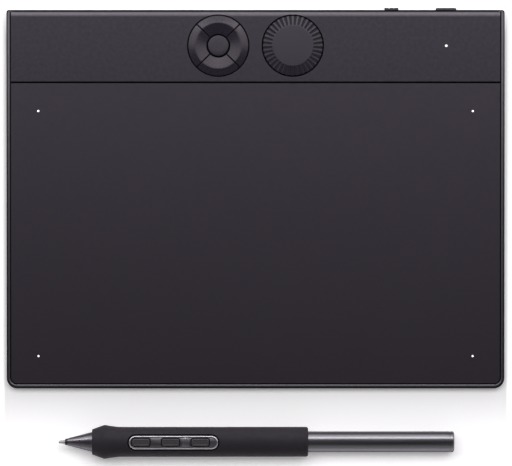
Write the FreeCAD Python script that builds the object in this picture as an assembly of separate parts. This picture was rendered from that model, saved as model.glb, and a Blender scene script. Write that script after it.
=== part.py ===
import FreeCAD, Part
import math
import os

from FreeCAD import Placement, Rotation, Vector

# A small pen tablet with its pen lying in front of it, in millimetres.
# X runs to the right, Y to the rear edge with the keys, Z up from the desk.
# The origin is on the desk, under the middle of the room that tablet and pen take.

# Tablet outline and stance
tablet_width = 215.0
tablet_depth = 163.4
front_height = 4.0
rear_height = 7.0
front_corner_radius = 4.5
rear_corner_radius = 1.2
foot_stand_off = 0.5
foot_inset = 0.4
foot_length = 26.0
foot_width = 6.0
foot_corner_cut = 1.6
foot_from_side = 27.5
foot_from_end = 10.0

# Tray walls
floor_thickness = 1.0
rim_side = 1.5
rim_front = 1.7
ledge = 2.4
rear_wall = 1.4
rear_step = 0.5
seam = 0.45
top_edge_round = 0.8
bottom_edge_cut = 0.6
rim_edge_width = 0.45
rim_edge_depth = 0.3
bay_corner_cut = 0.8
rib_thickness = 1.0
rib_cells_across = 5
rib_cells_deep = 3

# Drawing surface and what lies under it
surface_thickness = 0.8
sensor_thickness = 0.8
shield_thickness = 0.3
cover_edge_cut = 0.2
light_from_side = 13.75
light_from_front = 13.95
light_from_seam = 12.35
light_radius = 0.55
sheet_clearance = 0.3
light_clearance = 0.05
shield_margin = 1.2

# Control panel along the rear
panel_thickness = 1.2
strip_depth = 31.3
panel_seam = 0.7
panel_rear_round = 2.4
panel_round_over = 0.25
panel_lip_depth = 1.55
panel_lip_width = 1.2
seam_rib_width = 3.6
well_radius = 13.45
well_from_rear = 15.44
well_spacing = 32.15
status_from_side = 25.2

# Ring of four keys and the key inside it
key_outer_radius = 12.95
key_inner_radius = 5.1
key_crest_radius = 10.0
key_crest_height = 1.3
key_outer_height = 0.25
key_inner_height = 0.15
key_crest_flat = 0.7
key_slot = 0.4
key_travel = 0.5
key_tab_reach = 1.25
key_tab_thickness = 0.7
key_tab_width = 3.6
key_tab_root = 1.6
key_tab_angle = 30.0
key_depth = 0.6
key_stem_half = 0.8
key_stem_at = 9.0
key_running_gap = 0.05
centre_key_radius = 4.5
centre_key_height = 0.5
centre_key_edge = 0.4
centre_key_flange = 5.2
centre_key_flange_thickness = 0.5
guide_thickness = 0.5
guide_half_long = 15.6
guide_half_short = 7.0
guide_arm_half = 12.6
guide_foot_width = 1.2
guide_hole_clearance = 0.1

# Dial
dial_radius = 12.95
dial_disc_radius = 8.9
dial_height = 1.3
dial_edge_height = 0.35
dial_rib_count = 36
dial_rib_start = 0.25
dial_crest_share = 0.56
dial_groove_depth = 0.8
dial_skirt_depth = 1.3
dial_hub_radius = 2.2
hub_running_gap = 0.05
encoder_side = 13.0
encoder_height = 1.5

# Circuit board and the parts on it
board_drop = 4.05
board_thickness = 0.8
board_left_overhang = 5.325
board_right_gap = 6.15
board_front_gap = 0.7
board_rear_gap = 0.25
key_switch_side = 3.6
key_switch_height = 0.5
press_gap = 0.05
post_radius = 1.9
post_clearance = 0.3
post_edge_gap = 0.4
post_wall_gap = 0.85
post_well_gap = 3.15
can_length = 14.0
can_width = 12.0
can_height = 1.1
can_from_end = 28.0
can_from_rear = 17.5
module_length = 11.0
module_width = 9.0
module_height = 1.4
module_from_end = 13.0
module_from_rear = 22.0
led_length = 1.6
led_width = 0.9
led_height = 0.5

# Battery and its lead
battery_width = 23.0
battery_thickness = 2.8
battery_edge_cut = 0.6
battery_side_gap = 5.0
battery_to_board = 3.15
battery_fence_height = 1.6
battery_plug_length = 2.6
battery_plug_width = 6.0
battery_plug_height = 1.3
battery_plug_inset = 0.4
lead_width = 4.2
lead_thickness = 0.8

# Flat ribbon from the sensor sheet to the board
ribbon_width = 12.0
ribbon_thickness = 0.15
ribbon_from_side = 51.5
ribbon_clearance = 0.5
ribbon_overlap = 3.0
connector_depth = 3.0
connector_height = 0.9

# Controls and socket in the rear wall
rear_part_height = 3.2
rear_part_clearance = 0.15
power_from_side = 25.2
power_length = 8.9
power_tall = 2.3
power_proud = 0.95
power_edge_cut = 0.3
power_travel = 0.4
power_flange_margin = 1.0
power_flange_thickness = 0.6
power_nose_length = 1.6
power_nose_width = 1.6
power_nose_tall = 0.9
power_nose_lift = 0.45
switch_body_length = 4.6
switch_body_width = 2.6
switch_body_tall = 1.5
slider_from_side = 48.8
slider_length = 6.0
slider_tall = 2.0
slider_proud = 1.0
slider_corner_cut = 0.3
slider_travel = 3.0
slider_groove_count = 2
slider_groove_width = 1.0
slider_groove_depth = 0.45
slider_shutter_thickness = 0.5
slider_tab_width = 1.2
slider_tab_length = 1.7
slider_tab_tall = 0.8
slider_switch_length = 9.4
socket_from_side = 63.5
socket_width = 8.94
socket_tall = 3.16
socket_depth = 7.3
socket_wall = 0.3
socket_recess = 0.3
socket_tongue_width = 6.7
socket_tongue_thickness = 0.7
socket_tongue_length = 5.0
socket_back = 1.4
socket_ear = 1.1
socket_ear_thickness = 0.3
socket_notch_clearance = 0.25

# Pen, measured from the tip of its nib along its axis
pen_to_tablet = 22.95
pen_shift = 0.4
pen_length = 170.5
nib_exit = 2.75
nib_radius = 0.87
nib_tip_radius = 0.42
nib_length = 31.0
nib_travel = 0.4
nib_clearance = 0.1
nose_front_radius = 1.28
nose_rear_radius = 4.3
nose_end = 14.4
grip_front_radius = 5.45
flare_at = 19.4
flare_radius = 7.3
flare_band = 0.7
flare_shoulder_length = 1.9
flare_shoulder_drop = 0.4
waist_at = 26.4
barrel_radius = 6.45
grip_end = 107.5
grip_end_cut = 0.6
grip_edge_cut = 0.25
tail_radius = 4.48
tail_wall = 0.6
tail_inset = 3.5
cap_visible = 1.9
cap_edge_cut = 0.45
cap_spigot_length = 4.0
core_radius = 4.7
core_wall = 0.7
fit_gap = 0.1
board_side_gap = 0.15

# Side switches of the pen
plate_middle = 49.5
plate_length = 38.6
plate_width = 6.07
plate_surface_radius = 6.6
plate_base = 4.3
plate_gap = 0.34
plate_pocket_top = 5.2
plate_pocket_width = 5.2
plate_pocket_margin = 0.75
plate_pocket_corner = 1.2
side_switch_start = 35.5
side_switch_spacing = 12.76
side_switch_length = 8.3
side_switch_width = 4.0
side_switch_radius = 6.95
side_switch_gap = 0.12
side_switch_travel = 0.35
side_switch_flange = 0.3
side_switch_flange_thickness = 0.35
side_switch_stem = 0.7
side_switch_corner = 0.65
side_switch_flange_corner = 1.0
plate_ridge_count = 3
plate_ridge_spacing = 1.0
plate_ridge_width = 0.4
plate_ridge_height = 0.12
pen_board_start = 33.0
pen_board_length = 66.0
pen_board_thickness = 0.8
dome_side = 3.2
dome_height = 0.4
coil_start = 19.0
coil_length = 7.5
pressure_start = 27.5
pressure_length = 5.0
pressure_side = 5.0

# Places worked out from the sizes
slope = math.degrees(math.atan2(rear_height - front_height, tablet_depth))
rear_proud = max(slider_proud, power_proud)
set_depth = rear_proud + tablet_depth + pen_to_tablet + flare_radius
rear_y = set_depth / 2 - rear_proud
front_y = rear_y - tablet_depth
pen_y = front_y - pen_to_tablet
half_width = tablet_width / 2
cover_half = half_width - rim_side - seam
panel_seam_at = tablet_depth - strip_depth
well_at = tablet_depth - well_from_rear
can_at = tablet_depth - can_from_rear
module_at = tablet_depth - module_from_rear
surface_front = rim_front + seam
surface_rear = panel_seam_at - panel_seam / 2
panel_front = panel_seam_at + panel_seam / 2
panel_rear = tablet_depth - rear_step
floor_top = foot_stand_off + floor_thickness
bay_half = cover_half - ledge
bay_front = surface_front + ledge
bay_rear = panel_seam_at - seam_rib_width / 2
control_bay_front = panel_seam_at + seam_rib_width / 2
control_bay_rear = tablet_depth - rear_wall
stack_depth = surface_thickness + sensor_thickness + shield_thickness
ring_x = -well_spacing / 2
dial_x = well_spacing / 2
status_light_x = half_width - status_from_side
ribbon_x = half_width - ribbon_from_side
power_x = half_width - power_from_side
slider_x = half_width - slider_from_side
socket_x = half_width - socket_from_side
board_front = control_bay_front + board_front_gap
board_rear = (
    control_bay_rear - key_running_gap - power_flange_thickness - power_travel - board_rear_gap
)
board_left = ring_x - guide_half_long - board_left_overhang
board_right = bay_half - board_right_gap
can_x = board_right - can_from_end
module_x = board_right - module_from_end
battery_start = -bay_half + battery_side_gap
battery_end = board_left - battery_to_board
battery_plug_x = board_left + battery_plug_inset + battery_plug_length / 2
key_tab_top = -panel_thickness - key_running_gap
key_bottom = key_tab_top - key_tab_thickness
guide_top = key_bottom - key_travel - key_running_gap
switch_top = -board_drop + key_switch_height
stem_tip = switch_top + key_travel + press_gap
encoder_top = -board_drop + encoder_height
side_post_x = bay_half - post_wall_gap - post_radius
edge_post_inset = post_radius + post_edge_gap
front_post_at = board_front + edge_post_inset
rear_post_at = board_rear - edge_post_inset
case_posts = [
    (-side_post_x, well_at),
    (side_post_x, well_at),
    (0.0, front_post_at),
    (0.0, rear_post_at),
]
board_posts = [
    (board_left + edge_post_inset, front_post_at),
    (board_left + edge_post_inset, rear_post_at),
    (dial_x + well_radius + post_well_gap + post_radius, front_post_at),
    (board_right - edge_post_inset, front_post_at),
    (socket_x + socket_width / 2 + socket_ear + post_radius + post_clearance, rear_post_at),
]
key_angles = {"rear": 90.0, "left": 180.0, "front": 270.0, "right": 0.0}
far = 400.0
flat_share = math.cos(math.radians(22.5))
core_flat = core_radius * flat_share
core_bore = core_flat - core_wall
tail_bore = (tail_radius - tail_wall) * flat_share

deck = Placement(Vector(0, front_y, front_height), Rotation(Vector(1, 0, 0), slope))
pen_lean = math.degrees(
    math.atan2(flare_radius - barrel_radius, grip_end - grip_end_cut - flare_at - flare_band)
)
pen_tip_height = flare_radius * math.cos(math.radians(pen_lean)) + (
    flare_at + flare_band
) * math.sin(math.radians(pen_lean))
pen_frame = Placement(
    Vector(pen_shift - pen_length / 2, pen_y, pen_tip_height),
    Rotation(Vector(0, 1, 0), pen_lean),
)


def placed(shape, frame):
    """A copy of a shape carried from its own frame into the frame of the part."""
    moved = shape.copy()
    moved.Placement = frame.multiply(moved.Placement)
    return moved


def on_deck(shape):
    """From the deck frame: origin on the front edge of the top plane, Y up the slope."""
    return placed(shape, deck)


def in_pen(shape):
    """From the pen frame: origin at the nib tip, X along the axis, switches up."""
    return placed(shape, pen_frame)


def block(x0, x1, y0, y1, z0, z1):
    return Part.makeBox(x1 - x0, y1 - y0, z1 - z0, Vector(x0, y0, z0))


def post(x, y, z0, z1, radius):
    return Part.makeCylinder(radius, z1 - z0, Vector(x, y, z0))


def rod(x0, x1, radius):
    """A cylinder on the X axis."""
    return Part.makeCylinder(radius, x1 - x0, Vector(x0, 0, 0), Vector(1, 0, 0))


def rounded_wire(x0, x1, y0, y1, front_radius, rear_radius):
    """A rectangle in the XY plane whose front and rear corners have their own radii."""
    corners = [
        (x1, y0, -1, 1, front_radius),
        (x1, y1, -1, -1, rear_radius),
        (x0, y1, 1, -1, rear_radius),
        (x0, y0, 1, 1, front_radius),
    ]
    ends = []
    for index, (x, y, sx, sy, radius) in enumerate(corners):
        along_x = Vector(x + sx * radius, y, 0)
        along_y = Vector(x, y + sy * radius, 0)
        cut_in = radius * (1 - math.sqrt(0.5))
        middle = Vector(x + sx * cut_in, y + sy * cut_in, 0)
        first, last = (along_x, along_y) if index % 2 == 0 else (along_y, along_x)
        ends.append((first, middle, last))
    edges = []
    for index, (first, middle, last) in enumerate(ends):
        edges.append(Part.Arc(first, middle, last).toShape())
        following = ends[(index + 1) % len(ends)][0]
        if (following - last).Length > 1e-6:
            edges.append(Part.LineSegment(last, following).toShape())
    return Part.Wire(edges)


def rounded_plate(x0, x1, y0, y1, z0, z1, front_radius, rear_radius):
    face = Part.Face(rounded_wire(x0, x1, y0, y1, front_radius, rear_radius))
    face.translate(Vector(0, 0, z0))
    return face.extrude(Vector(0, 0, z1 - z0))


def cut_plate(x0, x1, y0, y1, z0, z1, cut):
    """A plate whose four upright corners are cut off at 45 degrees."""
    outline = [
        Vector(x0 + cut, y0, z0),
        Vector(x1 - cut, y0, z0),
        Vector(x1, y0 + cut, z0),
        Vector(x1, y1 - cut, z0),
        Vector(x1 - cut, y1, z0),
        Vector(x0 + cut, y1, z0),
        Vector(x0, y1 - cut, z0),
        Vector(x0, y0 + cut, z0),
    ]
    face = Part.Face(Part.makePolygon(outline + outline[:1]))
    return face.extrude(Vector(0, 0, z1 - z0))


def eight_sided_post(x, y, z0, z1, radius):
    """A small post or light guide with eight flat sides, each a radius from its axis."""
    cut = radius * (2 - math.sqrt(2))
    return cut_plate(x - radius, x + radius, y - radius, y + radius, z0, z1, cut)


def eight_sided_rod(x0, x1, radius):
    """The same on the X axis."""
    bar = eight_sided_post(0, 0, x0, x1, radius)
    bar.rotate(Vector(), Vector(0, 1, 0), 90)
    return bar


def stadium(x, y, length, width, z0, z1):
    """A plate with round ends, long way along X."""
    radius = width / 2 - 1e-4
    return rounded_plate(
        x - length / 2, x + length / 2, y - width / 2, y + width / 2, z0, z1, radius, radius
    )


def stood_in_wall(flat, x, z, y):
    """Stands a flat shape up in the rear wall, its thickness running forward from y."""
    flat.Placement = Placement(Vector(x, y, z), Rotation(Vector(1, 0, 0), 90))
    return flat


def wall_stadium(x, z, length, tall, y0, y1):
    """A shape with round ends in the rear wall, long way along X, running along Y."""
    return stood_in_wall(stadium(0, 0, length, tall, 0, y1 - y0), x, z, y1)


def wall_plate(x, z, length, tall, y0, y1, cut):
    """The same with its four corners cut off at 45 degrees."""
    half, up = length / 2, tall / 2
    return stood_in_wall(cut_plate(-half, half, -up, up, 0, y1 - y0, cut), x, z, y1)


def profile_face(points):
    """A closed face in the XZ plane; a point may carry a corner radius as third value."""
    count = len(points)
    corners = []
    for index, point in enumerate(points):
        here = Vector(point[0], 0, point[1])
        radius = point[2] if len(point) > 2 else 0.0
        before = points[index - 1]
        after = points[(index + 1) % count]
        to_before = (Vector(before[0], 0, before[1]) - here).normalize()
        to_after = (Vector(after[0], 0, after[1]) - here).normalize()
        if radius <= 0:
            corners.append((here, None, here))
            continue
        half = to_before.getAngle(to_after) / 2
        run = radius / math.tan(half)
        inward = (to_before + to_after).normalize()
        centre = here + inward * (radius / math.sin(half))
        corners.append(
            (here + to_before * run, centre - inward * radius, here + to_after * run)
        )
    edges = []
    for index, (first, middle, last) in enumerate(corners):
        if middle is not None:
            edges.append(Part.Arc(first, middle, last).toShape())
        following = corners[(index + 1) % count][0]
        if (following - last).Length > 1e-6:
            edges.append(Part.LineSegment(last, following).toShape())
    return Part.Face(Part.Wire(edges))


def turned(points):
    """A solid turned about the X axis from (x, radius) points."""
    return profile_face(points).revolve(Vector(), Vector(1, 0, 0), 360)


def spun(points, start=0.0, angle=360.0):
    """A solid turned about the Z axis from (radius, height) points."""
    solid = profile_face(points).revolve(Vector(), Vector(0, 0, 1), angle)
    solid.rotate(Vector(), Vector(0, 0, 1), start)
    return solid


def edges_at(shape, test):
    """The edges whose two ends and middle all pass a test."""
    found = []
    for edge in shape.Edges:
        middle = edge.valueAt((edge.FirstParameter + edge.LastParameter) / 2)
        if all(test(p) for p in [v.Point for v in edge.Vertexes] + [middle]):
            found.append(edge)
    return found


def save(name, *shapes):
    """Writes one STEP file; several shapes stay separate solids of one node."""
    os.makedirs("parts", exist_ok=True)
    solids = [solid for shape in shapes for solid in shape.Solids]
    whole = solids[0] if len(solids) == 1 else Part.makeCompound(solids)
    whole.exportStep("parts/" + name + ".step")
    print(f"{name:24s} solids {len(solids):2d}  volume {whole.Volume:10.2f} mm3")


def above_floor(shape):
    """Cuts off what would reach below the inner face of the tray floor."""
    return shape.cut(block(-far, far, -far, far, -far, floor_top))


def feet_places():
    x = half_width - foot_from_side
    return [
        (side * x, y)
        for side in (-1, 1)
        for y in (front_y + foot_from_end, rear_y - foot_from_end)
    ]


def case_blank():
    """The outer block of the tray: the plan outline, cut to the sloping top plane."""
    solid = rounded_plate(
        -half_width,
        half_width,
        front_y,
        rear_y,
        foot_stand_off,
        rear_height + 2,
        front_corner_radius,
        rear_corner_radius,
    )
    solid = solid.cut(on_deck(block(-far, far, -far, far, 0, far)))
    down = deck.inverse()
    top = edges_at(solid, lambda p: abs(down.multVec(p).z) < 1e-4)
    solid = solid.makeFillet(top_edge_round, top)
    low = edges_at(solid, lambda p: abs(p.z - foot_stand_off) < 1e-4)
    return solid.makeChamfer(bottom_edge_cut, low)


def cover_pocket():
    """The shallow bed, in the deck frame, that takes the surface and the panel."""
    inner = front_corner_radius - rim_side
    edge = cover_half + seam
    bed = rounded_plate(
        -edge, edge, rim_front, far, -surface_thickness, 0, inner, rear_corner_radius
    )
    outlines = []
    for step in (0, 2):
        grown = step * rim_edge_width
        outline = rounded_wire(
            -edge - grown, edge + grown, rim_front - grown, far, inner + grown, rear_corner_radius
        )
        outline.translate(Vector(0, 0, (step - 1) * rim_edge_depth))
        outlines.append(outline)
    rim_cut = Part.makeLoft(outlines, True, True)
    panel_bed = block(-edge, edge, panel_seam_at, far, -panel_thickness, far)
    lip_bed = block(
        -edge, edge, panel_rear - panel_lip_width - seam, far, -panel_lip_depth, far
    )
    return [bed, rim_cut, panel_bed, lip_bed]


def sensor_bay():
    """The bed of the sensor sheets, and the cells between the ribs that carry them."""
    bed = on_deck(
        cut_plate(
            -bay_half, bay_half, bay_front, bay_rear, -stack_depth, far, bay_corner_cut
        )
    )
    cells = []
    pitch_x = (2 * bay_half - rib_thickness) / rib_cells_across
    pitch_y = (bay_rear - bay_front - rib_thickness) / rib_cells_deep
    for column in range(rib_cells_across):
        for row in range(rib_cells_deep):
            x = -bay_half + rib_thickness + column * pitch_x
            y = front_y + bay_front + rib_thickness + row * pitch_y
            x_end = x + pitch_x - rib_thickness
            y_end = y + pitch_y - rib_thickness
            cells.append(block(x, x_end, y, y_end, floor_top, far))
    return [bed] + cells


def control_bay():
    return cut_plate(
        -bay_half,
        bay_half,
        front_y + control_bay_front,
        front_y + control_bay_rear,
        floor_top,
        far,
        bay_corner_cut,
    )


def battery_front():
    """The front edge of the battery, which lies in the middle of its bay."""
    return front_y + (control_bay_front + control_bay_rear - battery_width) / 2


def battery_fence():
    """Two low ribs on the floor that keep the battery from sliding to the right."""
    x, y = battery_end + sheet_clearance, battery_front()
    length = battery_width / 5
    top = floor_top + battery_fence_height
    return [
        block(x, x + rib_thickness, start, start + length, floor_top - 0.1, top)
        for start in (y, y + battery_width - length)
    ]


def foot_pad(x, y, z0, z1, margin):
    return cut_plate(
        x - foot_length / 2 + margin,
        x + foot_length / 2 - margin,
        y - foot_width / 2 + margin,
        y + foot_width / 2 - margin,
        z0,
        z1,
        foot_corner_cut,
    )


def case_openings():
    """The recesses for the feet, and the holes in the rear wall."""
    cuts = [
        foot_pad(x, y, foot_stand_off - 1, foot_stand_off + foot_inset, 0)
        for x, y in feet_places()
    ]
    inner, outer = rear_y - rear_wall - 1, rear_y + 1
    gap = 2 * rear_part_clearance
    cuts.append(
        wall_stadium(socket_x, rear_part_height, socket_width + gap, socket_tall + gap, inner, outer)
    )
    cuts.append(
        wall_stadium(power_x, rear_part_height, power_length + gap, power_tall + gap, inner, outer)
    )
    cuts.append(
        wall_plate(
            slider_x + slider_travel / 2,
            rear_part_height,
            slider_length + slider_travel + gap,
            slider_tall + gap,
            inner,
            outer,
            slider_corner_cut,
        )
    )
    return cuts


def ribbon_passage():
    """The notch through the rib under the seam."""
    half = ribbon_width / 2 + ribbon_clearance
    return on_deck(
        block(
            ribbon_x - half,
            ribbon_x + half,
            bay_rear - 1,
            control_bay_front + 1,
            -board_drop - 0.2,
            -surface_thickness - sensor_thickness,
        )
    )


def bottom_case():
    cuts = [on_deck(shape) for shape in cover_pocket()]
    cuts += sensor_bay() + [control_bay(), above_floor(ribbon_passage())] + case_openings()
    return case_blank().cut(cuts).fuse(battery_fence()).removeSplitter()


def drawing_surface():
    """The sheet that is drawn on, with its upper edge broken and four light holes."""
    sheet = rounded_plate(
        -cover_half,
        cover_half,
        surface_front,
        surface_rear,
        -surface_thickness,
        0,
        front_corner_radius - rim_side - seam,
        cover_edge_cut,
    )
    sheet = sheet.makeChamfer(cover_edge_cut / 2, edges_at(sheet, lambda p: abs(p.z) < 1e-6))
    holes = [
        eight_sided_post(x, y, -far, far, light_radius + light_clearance)
        for x, y in corner_marks()
    ]
    return on_deck(sheet.cut(holes))


def corner_marks():
    """Places of the four lights, each set by its margins to the edges of the tablet."""
    x = half_width - light_from_side
    return [
        (side * x, along)
        for side in (-1, 1)
        for along in (light_from_front, panel_seam_at - light_from_seam)
    ]


def corner_lights():
    return [
        on_deck(eight_sided_post(x, y, -surface_thickness, 0, light_radius))
        for x, y in corner_marks()
    ]


def sensor_sheet(top, bottom, margin):
    """A sheet that lies in the bed, its size set by its margin to the walls."""
    return cut_plate(
        -bay_half + margin,
        bay_half - margin,
        bay_front + margin,
        bay_rear - margin,
        bottom,
        top,
        bay_corner_cut,
    )


def sensor_board():
    top = -surface_thickness
    return on_deck(sensor_sheet(top, top - sensor_thickness, sheet_clearance))


def shield_plate():
    top = -surface_thickness - sensor_thickness
    sheet = sensor_sheet(top, top - shield_thickness, shield_margin)
    half = ribbon_width / 2 + ribbon_clearance
    notch = block(
        ribbon_x - half, ribbon_x + half, bay_rear - shield_margin - ribbon_overlap - 1, far, -far, far
    )
    return on_deck(sheet.cut(notch))


def panel_blank():
    """The rear cover with its round rear edge and the lip that sits on the rear wall.

    The round runs a little past the rear edge, so it ends in a short upright face.
    """
    beyond = panel_rear + panel_round_over
    low = -panel_rear_round - panel_lip_depth
    side = [
        (panel_front, 0, cover_edge_cut),
        (beyond, 0, panel_rear_round),
        (beyond, low),
        (panel_rear - panel_lip_width, low),
        (panel_rear - panel_lip_width, -panel_thickness),
        (panel_front, -panel_thickness),
    ]
    section = profile_face(side)
    section.rotate(Vector(), Vector(0, 0, 1), 90)
    section.translate(Vector(-cover_half, 0, 0))
    outline = rounded_plate(
        -cover_half,
        cover_half,
        panel_front,
        panel_rear,
        -panel_lip_depth,
        0,
        cover_edge_cut,
        rear_corner_radius - cover_edge_cut,
    )
    return section.extrude(Vector(2 * cover_half, 0, 0)).common(outline)


def control_panel():
    """The rear cover with the two round openings and the posts below."""
    panel = panel_blank()
    posts = [
        eight_sided_post(x, y, -board_drop * 2, -panel_thickness / 2, post_radius)
        for x, y in case_posts
    ]
    board_stops = [
        eight_sided_post(x, y, -board_drop, -panel_thickness / 2, post_radius)
        for x, y in board_posts
    ]
    panel = panel.fuse(posts + board_stops)
    cuts = [post(x, well_at, -far, far, well_radius) for x in (ring_x, dial_x)]
    cuts.append(
        eight_sided_post(status_light_x, well_at, -far, far, light_radius + light_clearance)
    )
    return above_floor(on_deck(panel.cut(cuts)))


def ring_key(angle):
    """One quarter of the key ring: a crested cap, a square stem and two catch tabs."""
    inner_fall = (key_crest_height - key_inner_height) / (key_crest_radius - key_inner_radius)
    outer_fall = (key_crest_height - key_outer_height) / (key_outer_radius - key_crest_radius)
    half_flat = key_crest_flat / 2
    section = [
        (key_inner_radius, key_inner_height),
        (key_crest_radius - half_flat, key_crest_height - half_flat * inner_fall),
        (key_crest_radius + half_flat, key_crest_height - half_flat * outer_fall),
        (key_outer_radius, key_outer_height),
        (key_outer_radius, -key_depth),
        (key_inner_radius, -key_depth),
    ]
    cap = spun(section, -45, 90)
    half = key_stem_half
    stem = block(key_stem_at - half, key_stem_at + half, -half, half, stem_tip, 0)
    catches = []
    for turn in (key_tab_angle, -key_tab_angle):
        root = key_outer_radius - key_tab_root
        width = key_tab_width / 2
        catch = block(root, key_outer_radius - key_slot, -width, width, key_bottom, -key_depth / 2)
        tab = block(
            root, key_outer_radius + key_tab_reach, -width, width, key_bottom, key_tab_top
        )
        catch = catch.fuse(tab)
        catch.rotate(Vector(), Vector(0, 0, 1), turn)
        catches.append(catch)
    key = cap.fuse([stem] + catches)
    slots = []
    for turn in (45, -45):
        slot = block(0, far, -key_slot / 2, key_slot / 2, -far, far)
        slot.rotate(Vector(), Vector(0, 0, 1), turn)
        slots.append(slot)
    key = key.cut(slots).removeSplitter()
    key.rotate(Vector(), Vector(0, 0, 1), angle)
    key.translate(Vector(ring_x, well_at, 0))
    return on_deck(key)


def centre_key():
    """The round key in the middle, held by a square flange under the ring."""
    flange_top = -key_depth - key_travel - 2 * key_running_gap
    flange_bottom = flange_top - centre_key_flange_thickness
    section = [
        (0, centre_key_height),
        (centre_key_radius - centre_key_edge, centre_key_height),
        (centre_key_radius, centre_key_height - centre_key_edge),
        (centre_key_radius, flange_top),
        (0, flange_top),
    ]
    side = centre_key_flange
    flange = block(-side, side, -side, side, flange_bottom, flange_top)
    half = key_stem_half
    stem = block(-half, half, -half, half, stem_tip, flange_bottom)
    key = spun(section).fuse([flange, stem]).removeSplitter()
    key.translate(Vector(ring_x, well_at, 0))
    return on_deck(key)


def stem_places():
    """Middle and turn of each stem: the centre key's first, then the ring's four."""
    places = [(ring_x, well_at, 0.0)]
    for angle in key_angles.values():
        turn = math.radians(angle)
        places.append(
            (
                ring_x + key_stem_at * math.cos(turn),
                well_at + key_stem_at * math.sin(turn),
                angle,
            )
        )
    return places


def key_guide():
    """A cross-shaped plate under the keys, clamped between the panel and the board."""
    bottom = guide_top - guide_thickness
    long, short, arm = guide_half_long, guide_half_short, guide_arm_half
    plates = [
        block(-long, long, -short, short, bottom, guide_top),
        block(-short, short, -arm, arm, bottom, guide_top),
    ]
    feet = [
        block(x, x + guide_foot_width, -short, short, -board_drop, -panel_thickness)
        for x in (-long, long - guide_foot_width)
    ]
    guide = plates[0].fuse(plates[1:] + feet)
    guide.translate(Vector(ring_x, well_at, 0))
    half = key_stem_half + guide_hole_clearance
    holes = [block(x - half, x + half, y - half, y + half, -far, far) for x, y, _ in stem_places()]
    return on_deck(guide.cut(holes).removeSplitter())


def key_switches():
    half = key_switch_side / 2
    return [
        on_deck(block(x - half, x + half, y - half, y + half, -board_drop, switch_top))
        for x, y, _ in stem_places()
    ]


def polar(radius, turn, height):
    return Vector(radius * math.cos(turn), radius * math.sin(turn), height)


def polygon_face(points):
    return Part.Face(Part.makePolygon(points + points[:1]))


def dial_line(turn, sunk):
    """Points down the band along one crest or groove line: start, edge and foot."""
    fall = (dial_height - dial_edge_height) / (dial_radius - dial_disc_radius)
    apex = dial_height + fall * dial_disc_radius
    steepness = fall + sunk / dial_radius
    start = dial_disc_radius + dial_rib_start
    edge = dial_radius - sunk / 3
    return [
        polar(start, turn, apex - steepness * start),
        polar(edge, turn, apex - steepness * edge),
        polar(edge, turn, -dial_skirt_depth),
    ]


def dial():
    """The turning cap: a flat disc, a sloping band of flat-topped ribs, a skirt and a hub.

    All lines down the band aim at one point over the middle, which keeps its faces flat.
    """
    pitch = 2 * math.pi / dial_rib_count
    half = pitch * dial_crest_share / 2
    disc, foot, faces = [], [], []
    for index in range(dial_rib_count):
        turns = [index * pitch - half, index * pitch + half, (index + 1) * pitch - half]
        rim = [polar(dial_disc_radius, turn, dial_height) for turn in turns]
        left, right, next_left = [dial_line(turn, 0.0) for turn in turns]
        groove = dial_line((index + 0.5) * pitch, dial_groove_depth)
        disc += rim[:2]
        foot += [left[2], right[2], groove[2]]
        faces.append(polygon_face([rim[0], left[0], left[1], right[1], right[0], rim[1]]))
        faces.append(polygon_face([left[1], left[2], right[2], right[1]]))
        faces.append(polygon_face([rim[1], right[0], groove[0]]))
        faces.append(polygon_face([rim[1], groove[0], rim[2]]))
        faces.append(polygon_face([rim[2], groove[0], next_left[0]]))
        for near, after in ((right, groove), (groove, next_left)):
            faces.append(polygon_face([near[0], near[1], after[1], after[0]]))
            faces.append(polygon_face([near[1], near[2], after[2], after[1]]))
    faces += [polygon_face(disc), polygon_face(foot)]
    cap = Part.Solid(Part.Shell(faces))
    hub = post(0, 0, -board_drop + press_gap, 0, dial_hub_radius)
    cap = cap.fuse(hub)
    cap.translate(Vector(dial_x, well_at, 0))
    return on_deck(cap)


def dial_encoder():
    """The fixed housing on the board in whose bore the hub turns."""
    half = encoder_side / 2
    body = block(-half, half, -half, half, -board_drop, encoder_top)
    body = body.cut(post(0, 0, -board_drop - 1, far, dial_hub_radius + hub_running_gap))
    body.translate(Vector(dial_x, well_at, 0))
    return on_deck(body)


def main_board():
    """The board, notched for the socket and for the two posts between the wells."""
    board = block(
        board_left, board_right, board_front, board_rear, -board_drop - board_thickness, -board_drop
    )
    socket_half = socket_width / 2 + socket_notch_clearance
    socket_front = tablet_depth - socket_recess - socket_depth - 2 * socket_notch_clearance
    notches = [block(socket_x - socket_half, socket_x + socket_half, socket_front, far, -far, far)]
    half = post_radius + post_clearance
    notches.append(block(-half, half, -far, front_post_at + half, -far, far))
    notches.append(block(-half, half, rear_post_at - half, far, -far, far))
    return on_deck(board.cut(notches))


def board_block(x, along, length, width, height):
    """A block standing on the board, given by its middle."""
    return on_deck(
        block(
            x - length / 2,
            x + length / 2,
            along - width / 2,
            along + width / 2,
            -board_drop,
            height - board_drop,
        )
    )


def status_light():
    """A stepped light guide from the panel face down to the lamp on the board."""
    x, wide = status_light_x, light_radius + 0.4
    low = -board_drop + led_height + press_gap
    guide = eight_sided_post(x, well_at, -panel_thickness, 0, light_radius)
    lower = eight_sided_post(x, well_at, low, -panel_thickness, wide)
    return on_deck(guide.fuse(lower).removeSplitter())


def battery():
    """The flat cell fills the bay from its left wall to the circuit board."""
    y = battery_front()
    cell = block(
        battery_start,
        battery_end,
        y,
        y + battery_width,
        floor_top,
        floor_top + battery_thickness,
    )
    length = battery_end - battery_start
    long_edges = [edge for edge in cell.Edges if abs(edge.Length - length) < 1e-6]
    return cell.makeChamfer(battery_edge_cut, long_edges)


def battery_plug():
    return board_block(
        battery_plug_x, well_at, battery_plug_length, battery_plug_width, battery_plug_height
    )


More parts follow.
